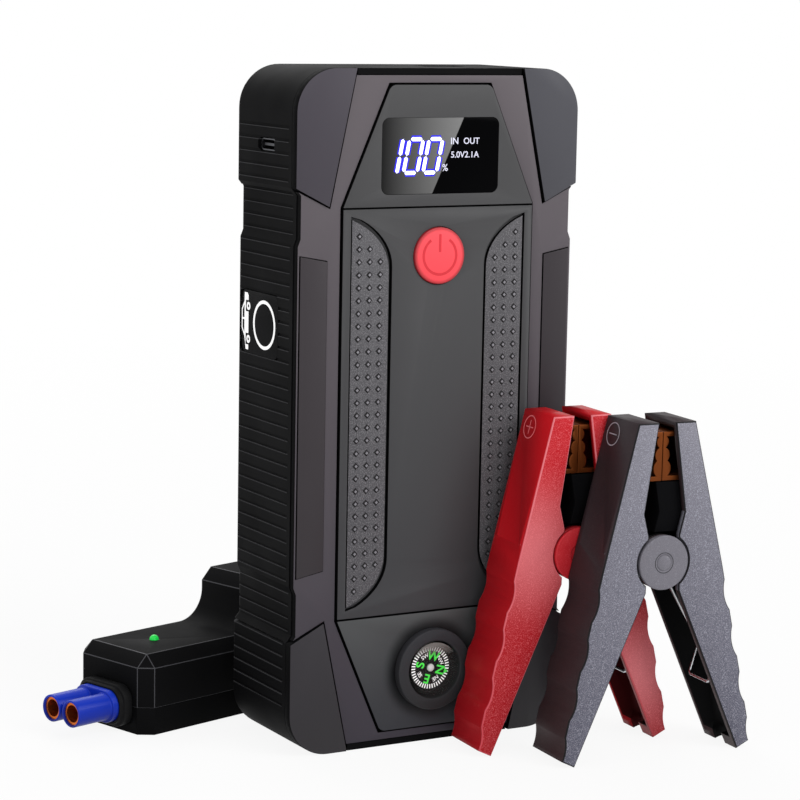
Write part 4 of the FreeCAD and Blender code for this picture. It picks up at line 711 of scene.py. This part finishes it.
def bar(start, end, wide, point=0.0):
    (x1, y1), (x2, y2) = start, end
    long = math.hypot(x2 - x1, y2 - y1)
    ux, uy = (x2 - x1) / long, (y2 - y1) / long
    nx, ny = -uy * wide / 2, ux * wide / 2
    if not point:
        return [(x1 + nx, y1 + ny), (x1 - nx, y1 - ny), (x2 - nx, y2 - ny), (x2 + nx, y2 + ny)]
    px, py = ux * point, uy * point
    return [(x1, y1), (x1 + px - nx, y1 + py - ny), (x2 - px - nx, y2 - py - ny),
            (x2, y2), (x2 - px + nx, y2 - py + ny), (x1 + px + nx, y1 + py + ny)]


def words(name, lines, origin, axes, finish, body, bold=0.012):
    shape = bmesh.new()
    for text, high, x, y, turn in lines:
        curve = bpy.data.curves.new(name, "FONT")
        curve.body, curve.size, curve.extrude = text, high / markSizes["capitals"], markSizes["extrude"]
        curve.offset = high * bold
        curve.align_x, curve.align_y = "CENTER", "CENTER"
        holder = addObject(name, curve)
        bpy.context.view_layer.update()
        evaluated = holder.evaluated_get(bpy.context.evaluated_depsgraph_get())
        letters = bpy.data.meshes.new_from_object(evaluated)
        letters.transform(Matrix.Translation((x, y, 0)) @ Matrix.Rotation(math.radians(turn), 4, "Z"))
        shape.from_mesh(letters)
        bpy.data.objects.remove(holder)
        bpy.data.meshes.remove(letters)
    bmesh.ops.remove_doubles(shape, verts=shape.verts, dist=markSizes["weld"])
    for corner in shape.verts:
        level = markSizes["top"] if corner.co.z > 0 else markSizes["foot"]
        corner.co = Vector((corner.co.x * mm, corner.co.y * mm, level * mm))
    shape.transform(placement(origin, **axes))
    finishPiece(name, meshFrom(name, shape), finish, body)


digits = {"foot": 161.3, "high": 9.6, "slant": 0.2, "thick": 1.08, "lefts": (-11.8, -5.65), "wide": 4.3,
          "one": -13.87, "halo": 1.9, "gap": 0.12, "clip": 0.35, "inset": 0.2, "point": 0.5, "haloPoint": 0.35,
          "raised": 0.04, "haloRaised": 0.015}


def addDigits(values):
    half, gap, clip, inset = values["high"] / 2, values["gap"], values["clip"], values["inset"]
    strokes = []

    def stroke(*ends):
        strokes.append([(x + y * values["slant"], y) for x, y in ends])

    stroke((values["one"], gap), (values["one"], half - gap))
    stroke((values["one"], half + gap), (values["one"], 2 * half - gap))
    for left in values["lefts"]:
        right = left + values["wide"]
        for x in (left, right):
            stroke((x, gap + clip), (x, half - gap))
            stroke((x, half + gap), (x, 2 * half - gap - clip))
        for y in (inset, 2 * half - inset):
            stroke((left + gap + inset, y), (right - gap - inset, y))
    origin = (0, -19, values["foot"])
    halo = [bar(a, b, values["thick"] * values["halo"], values["haloPoint"]) for a, b in strokes]
    lit = [bar(a, b, values["thick"], values["point"]) for a, b in strokes]
    marks("digitHalo", halo, origin, front, "digit_blue", "pack", values["haloRaised"])
    marks("digits", lit, origin, front, "digit_white", "pack", values["raised"])


addDigits(digits)

# text, height, x, y and turn of each line
screenLines = [("IN", 1.8, 4.3, 0, 0), ("OUT", 1.7, 9.7, 0, 0), ("5.0V2.1A", 1.7, 7.65, -3.75, 0),
               ("%", 1.9, 1.4, -7.3, 0)]
words("screenWords", screenLines, (0, -19, 170.0), front, "screen_print", "pack")

sign = {"radius": 5.2, "wide": 0.75, "gap": 34, "barLow": 1.0, "barHigh": 6.0, "at": (0, -19.7, 138.5)}
marks("powerSign", arcBand(sign["radius"], sign["wide"], 90 + sign["gap"], 450 - sign["gap"])
      + [bar((0, sign["barLow"]), (0, sign["barHigh"]), sign["wide"])],
      sign["at"], front, "sign_red", "button")

# edge and slope follow the leaning outer side of the left arm
polarity = {"ring": 3.2, "line": 0.32, "up": 90.5, "side": 3.5, "stroke": 0.62, "edge": -9.1, "top": 95,
            "slope": 0.2475, "lean": (0.2403, 0.9708)}


def addPolarity(values, colour, finish, plus):
    across = values["edge"] - (values["top"] - values["up"]) * values["slope"]
    spot = clampPlace(colour) + along * across + deep * values["side"]
    spot.z = values["up"]
    axes = {"right": -deep, "up": values["lean"][0] * along + values["lean"][1] * Vector((0, 0, 1))}
    reach = values["ring"] * values["stroke"]
    strokes = arcBand(values["ring"], values["line"], steps=40) + [bar((-reach, 0), (reach, 0), values["line"])]
    if plus:
        strokes.append(bar((0, -reach), (0, reach), values["line"]))
    marks(colour + "Polarity", strokes, spot, axes, finish, "pack")


addPolarity(polarity, "red", "print_red", True)
addPolarity(polarity, "black", "print_grey", False)

capRing = {"radius": 2.85, "wide": 0.22}


def addCapRing(values, colour, finish):
    caps = colour + "_pivot_caps"
    spot = clampPlace(colour)
    spot.z = middleOf(caps)[2]
    spot -= deep * max(abs(depth) for depth in clampDepths(cadNodes[caps].data, colour))
    marks(colour + "CapRing", arcBand(values["radius"], values["wide"]), spot, {"right": along, "up": (0, 0, 1)},
          finish, "pack")


addCapRing(capRing, "red", "cap_ring_red")
addCapRing(capRing, "black", "cap_ring_grey")

# the car lies along the cover's height with its roof to the rear: points are (along the car, up the car)
carSign = {"ring": 6.4, "ringWide": 0.95, "ringY": 1.1, "carY": 11.5, "sill": -0.5, "wheels": (-5.0, 4.3),
           "wheelRadius": 0.8, "wheelWide": 0.7,
           "outlines": [
               [(-8.0, -0.5), (-8.0, 1.1), (-6.6, 1.4), (-6.6, -0.5)],
               [(-6.6, 1.2), (-6.6, 1.4), (-4.4, 2.0), (-3.4, 2.0), (-3.4, 1.2)],
               [(-3.4, -0.5), (-3.4, 2.0), (2.7, 2.0), (2.7, -0.5)],
               [(2.7, 1.2), (2.7, 2.0), (5.9, 2.0), (5.9, 1.2)],
               [(5.9, -0.5), (5.9, 2.0), (8.0, 1.9), (8.0, 0.1), (7.2, -0.5)],
               [(-4.4, 2.0), (-2.2, 3.7), (-2.0, 3.2), (-3.5, 2.0)],
               [(-2.2, 3.7), (3.2, 3.7), (3.0, 3.2), (-2.0, 3.2)],
               [(3.2, 3.7), (5.5, 2.0), (4.7, 2.0), (3.0, 3.2)], [(0.3, 3.3), (0.8, 3.3), (0.8, 1.9), (0.3, 1.9)]]}


def addCarSign(values):
    middle = middleOf("socket_cover")[2]
    outlines = list(values["outlines"])
    for x in values["wheels"]:
        outlines += [[(x + a, values["sill"] + b) for a, b in quad]
                     for quad in arcBand(values["wheelRadius"], values["wheelWide"], steps=24)]
    shapes = [[(-(values["carY"] + v), middle + u) for u, v in outline] for outline in outlines]
    shapes += arcBand(values["ring"], values["ringWide"], steps=64, centre=(-values["ringY"], middle))
    origin = (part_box("socket_cover")[0].x / mm, 0, 0)
    marks("carSign", shapes, origin, leftSide, "sign_white", "cover")


addCarSign(carSign)
print("marks made")


# compass dial, pivot head and grip studs

def newRepeat(name, inputs):
    tree = bpy.data.node_groups.new(name, "GeometryNodeTree")
    ids = [addInput(tree, label, value) for label, value in inputs.items()]
    tree.interface.new_socket(name="Geometry", in_out="OUTPUT", socket_type="NodeSocketGeometry")
    return tree, ids, tree.nodes.new("NodeGroupInput").outputs


def endRepeat(tree, spreadInputs, finish):
    spread = newNode(tree, "GeometryNodeInstanceOnPoints", spreadInputs)
    real = newNode(tree, "GeometryNodeRealizeInstances", {0: spread.outputs["Instances"]})
    paint = newNode(tree, "GeometryNodeSetMaterial", {"Geometry": real.outputs[0], "Material": finish})
    feed(tree, paint.outputs[0], tree.nodes.new("NodeGroupOutput").inputs[0])


def runTree(tree, ids, values, name):
    holder = addObject(name, bpy.data.meshes.new(name))
    modifier = holder.modifiers.new("repeat", "NODES")
    modifier.node_group = tree
    for identifier, value in zip(ids, values):
        modifier[identifier] = value
    bpy.context.view_layer.update()
    result = bpy.data.meshes.new_from_object(holder.evaluated_get(bpy.context.evaluated_depsgraph_get()))
    bpy.data.objects.remove(holder)
    return result


dial = {"radius": 5.5, "ticks": 44, "tickLong": 1.25, "tickWide": 0.36, "tickThick": 0.06, "turn": -17.0,
        "letterHigh": 2.6, "letterOut": 3.25, "bold": 0.035, "quarterHigh": 1.15, "quarterOut": 3.7,
        "north": ((6.05, 0), (4.75, 0.85), (4.75, -0.85)), "northRaised": 0.06}


def makeTickTree(finish):
    tree, ids, given = newRepeat("dialTicks", {"Count": 48, "Radius": 0.0055,
                                               "Tick Size": (0.0008, 0.0003, 0.00005)})
    circle = newNode(tree, "GeometryNodeMeshCircle", {"Vertices": given["Count"], "Radius": given["Radius"]})
    points = newNode(tree, "GeometryNodeMeshToPoints", {"Mesh": circle.outputs["Mesh"]})
    where = tree.nodes.new("GeometryNodeInputPosition")
    aim = newNode(tree, "FunctionNodeAlignRotationToVector", {"Vector": where.outputs[0]}, axis="X")
    tick = newNode(tree, "GeometryNodeMeshCube", {"Size": given["Tick Size"]})
    endRepeat(tree, {"Points": points.outputs["Points"], "Instance": tick.outputs["Mesh"],
                     "Rotation": aim.outputs["Rotation"]}, finish)
    return tree, ids


def addDial(values):
    x, _, z = middleOf("compass_dial")
    centre = (x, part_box("compass_dial")[0].y / mm, z)
    tree, ids = makeTickTree(finishes["dial_white"])
    tickSize = [values[key] * mm for key in ("tickLong", "tickWide", "tickThick")]
    ticks = runTree(tree, ids, (values["ticks"], values["radius"] * mm, tickSize), "dialTicks")
    ticks.transform(placement(centre, **front))
    finishPiece("dialTicks", ticks, "dial_white", "dial")

    def around(text, high, out, angle):
        turn = math.radians(angle)
        return text, high, out * math.cos(turn), out * math.sin(turn), angle - 90

    letters, quarters = [], []
    for index, (letter, quarter) in enumerate((("N", "NE"), ("E", "SE"), ("S", "SW"), ("W", "NW"))):
        angle = values["turn"] - 90 * index
        letters.append(around(letter, values["letterHigh"], values["letterOut"], angle))
        quarters.append(around(quarter, values["quarterHigh"], values["quarterOut"], angle - 45))
    words("dialLetters", letters, centre, front, "print_green", "dial", values["bold"])
    words("dialQuarters", quarters, centre, front, "dial_white", "dial")
    turn = math.radians(values["turn"])
    tip = [(out * math.cos(turn) - side * math.sin(turn), out * math.sin(turn) + side * math.cos(turn))
           for out, side in values["north"]]
    marks("dialNorth", [tip], centre, front, "print_green", "dial", values["northRaised"])


pivotHead = {"steps": 32,  # the profile is (distance from the axis, y)
             "profile": [(0.0, -19.95), (0.45, -19.9), (0.85, -19.72), (1.1, -19.4), (1.15, -19.15),
                         (0.42, -19.12), (0.4, -15.05), (0.0, -15.05)]}


def addPivotHead(values):
    low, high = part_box("compass_pivot")
    centre = Vector(((low.x + high.x) / 2, 0, (low.z + high.z) / 2))
    shape = bmesh.new()
    steps = values["steps"]
    rings = []
    for reach, y in values["profile"]:
        turns = [2 * math.pi * k / steps for k in range(steps if reach else 1)]
        rings.append([shape.verts.new((centre.x + reach * mm * math.cos(t), y * mm,
                                       centre.z + reach * mm * math.sin(t))) for t in turns])
    for first, second in zip(rings, rings[1:]):
        for k in range(steps):
            n = (k + 1) % steps
            corners = [first[k % len(first)], first[n % len(first)],
                       second[n % len(second)], second[k % len(second)]]
            shape.faces.new([c for i, c in enumerate(corners) if c not in corners[:i]])
    bmesh.ops.recalc_face_normals(shape, faces=shape.faces)
    mesh = meshFrom("compassPivot", shape)
    mesh.shade_smooth()
    finishPiece("compassPivot", mesh, "pearl", "pack", ("compass_pivot",))


addDial(dial)
addPivotHead(pivotHead)

studs = {"columns": (18.3, 21.6, 24.9), "rows": 29, "pitch": 3.53, "middle": 95.0, "half": 1.05, "proud": 0.3,
         "topShare": 0.45, "rowSlack": 0.501, "litFacing": -0.9}


def makeStudTree(values, finish):  # the inner columns are shorter than the outer one
    tree, ids, given = newRepeat("gripStuds", {"Rows": 29, "Column Span": 0.0066, "Row Span": 0.0988,
                                               "Half Width": 0.0009, "Proud": 0.0003, "Inner Loss": 0.0071})
    grid = newNode(tree, "GeometryNodeMeshGrid", {
        "Vertices X": len(values["columns"]), "Vertices Y": given["Rows"],
        "Size X": given["Column Span"], "Size Y": given["Row Span"]})
    place = split(tree, tree.nodes.new("GeometryNodeInputPosition").outputs[0])
    lowSpan, highSpan = (maths(tree, "MULTIPLY", given["Column Span"], share) for share in (-0.5, 0.5))
    halfRow = maths(tree, "MULTIPLY", given["Row Span"], values["rowSlack"])
    shortRow = maths(tree, "SUBTRACT", halfRow, given["Inner Loss"])
    reach = remap(tree, place["X"], lowSpan, highSpan, shortRow, halfRow)
    over = maths(tree, "GREATER_THAN", maths(tree, "ABSOLUTE", place["Y"]), reach)
    drop = newNode(tree, "GeometryNodeDeleteGeometry", {"Geometry": grid.outputs["Mesh"], "Selection": over})
    points = newNode(tree, "GeometryNodeMeshToPoints", {"Mesh": drop.outputs[0]})
    top = maths(tree, "MULTIPLY", given["Half Width"], values["topShare"])
    stud = newNode(tree, "GeometryNodeMeshCone", {"Vertices": 4, "Radius Bottom": given["Half Width"],
                                                  "Radius Top": top, "Depth": given["Proud"]})
    endRepeat(tree, {"Points": points.outputs["Points"], "Instance": stud.outputs["Mesh"]}, finish)
    return tree, ids


def addStuds(values):
    tree, ids = makeStudTree(values, finishes["stud_rubber"])
    columns = values["columns"]
    rowSpan = (values["rows"] - 1) * values["pitch"]
    figures = (values["rows"], (columns[-1] - columns[0]) * mm, rowSpan * mm, values["half"] * mm,
               values["proud"] * mm, 2 * values["pitch"] * mm)
    for side, label in ((-1, "left"), (1, "right")):
        name = "studs_" + label
        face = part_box("grip_pad_" + label)[0].y / mm
        mesh = runTree(tree, ids, figures, name)
        if side < 0:
            mesh.transform(Matrix.Scale(-1, 4, (1, 0, 0)))
            mesh.flip_normals()
        mesh.transform(placement((side * columns[1], face, values["middle"]), **front))
        finishPiece(name, mesh, ("stud_rubber", "stud_lit"), "pack")
        for facet in mesh.polygons:
            facet.material_index = 1 if facet.normal.y < values["litFacing"] else 0


addStuds(studs)
print("dial and studs made")
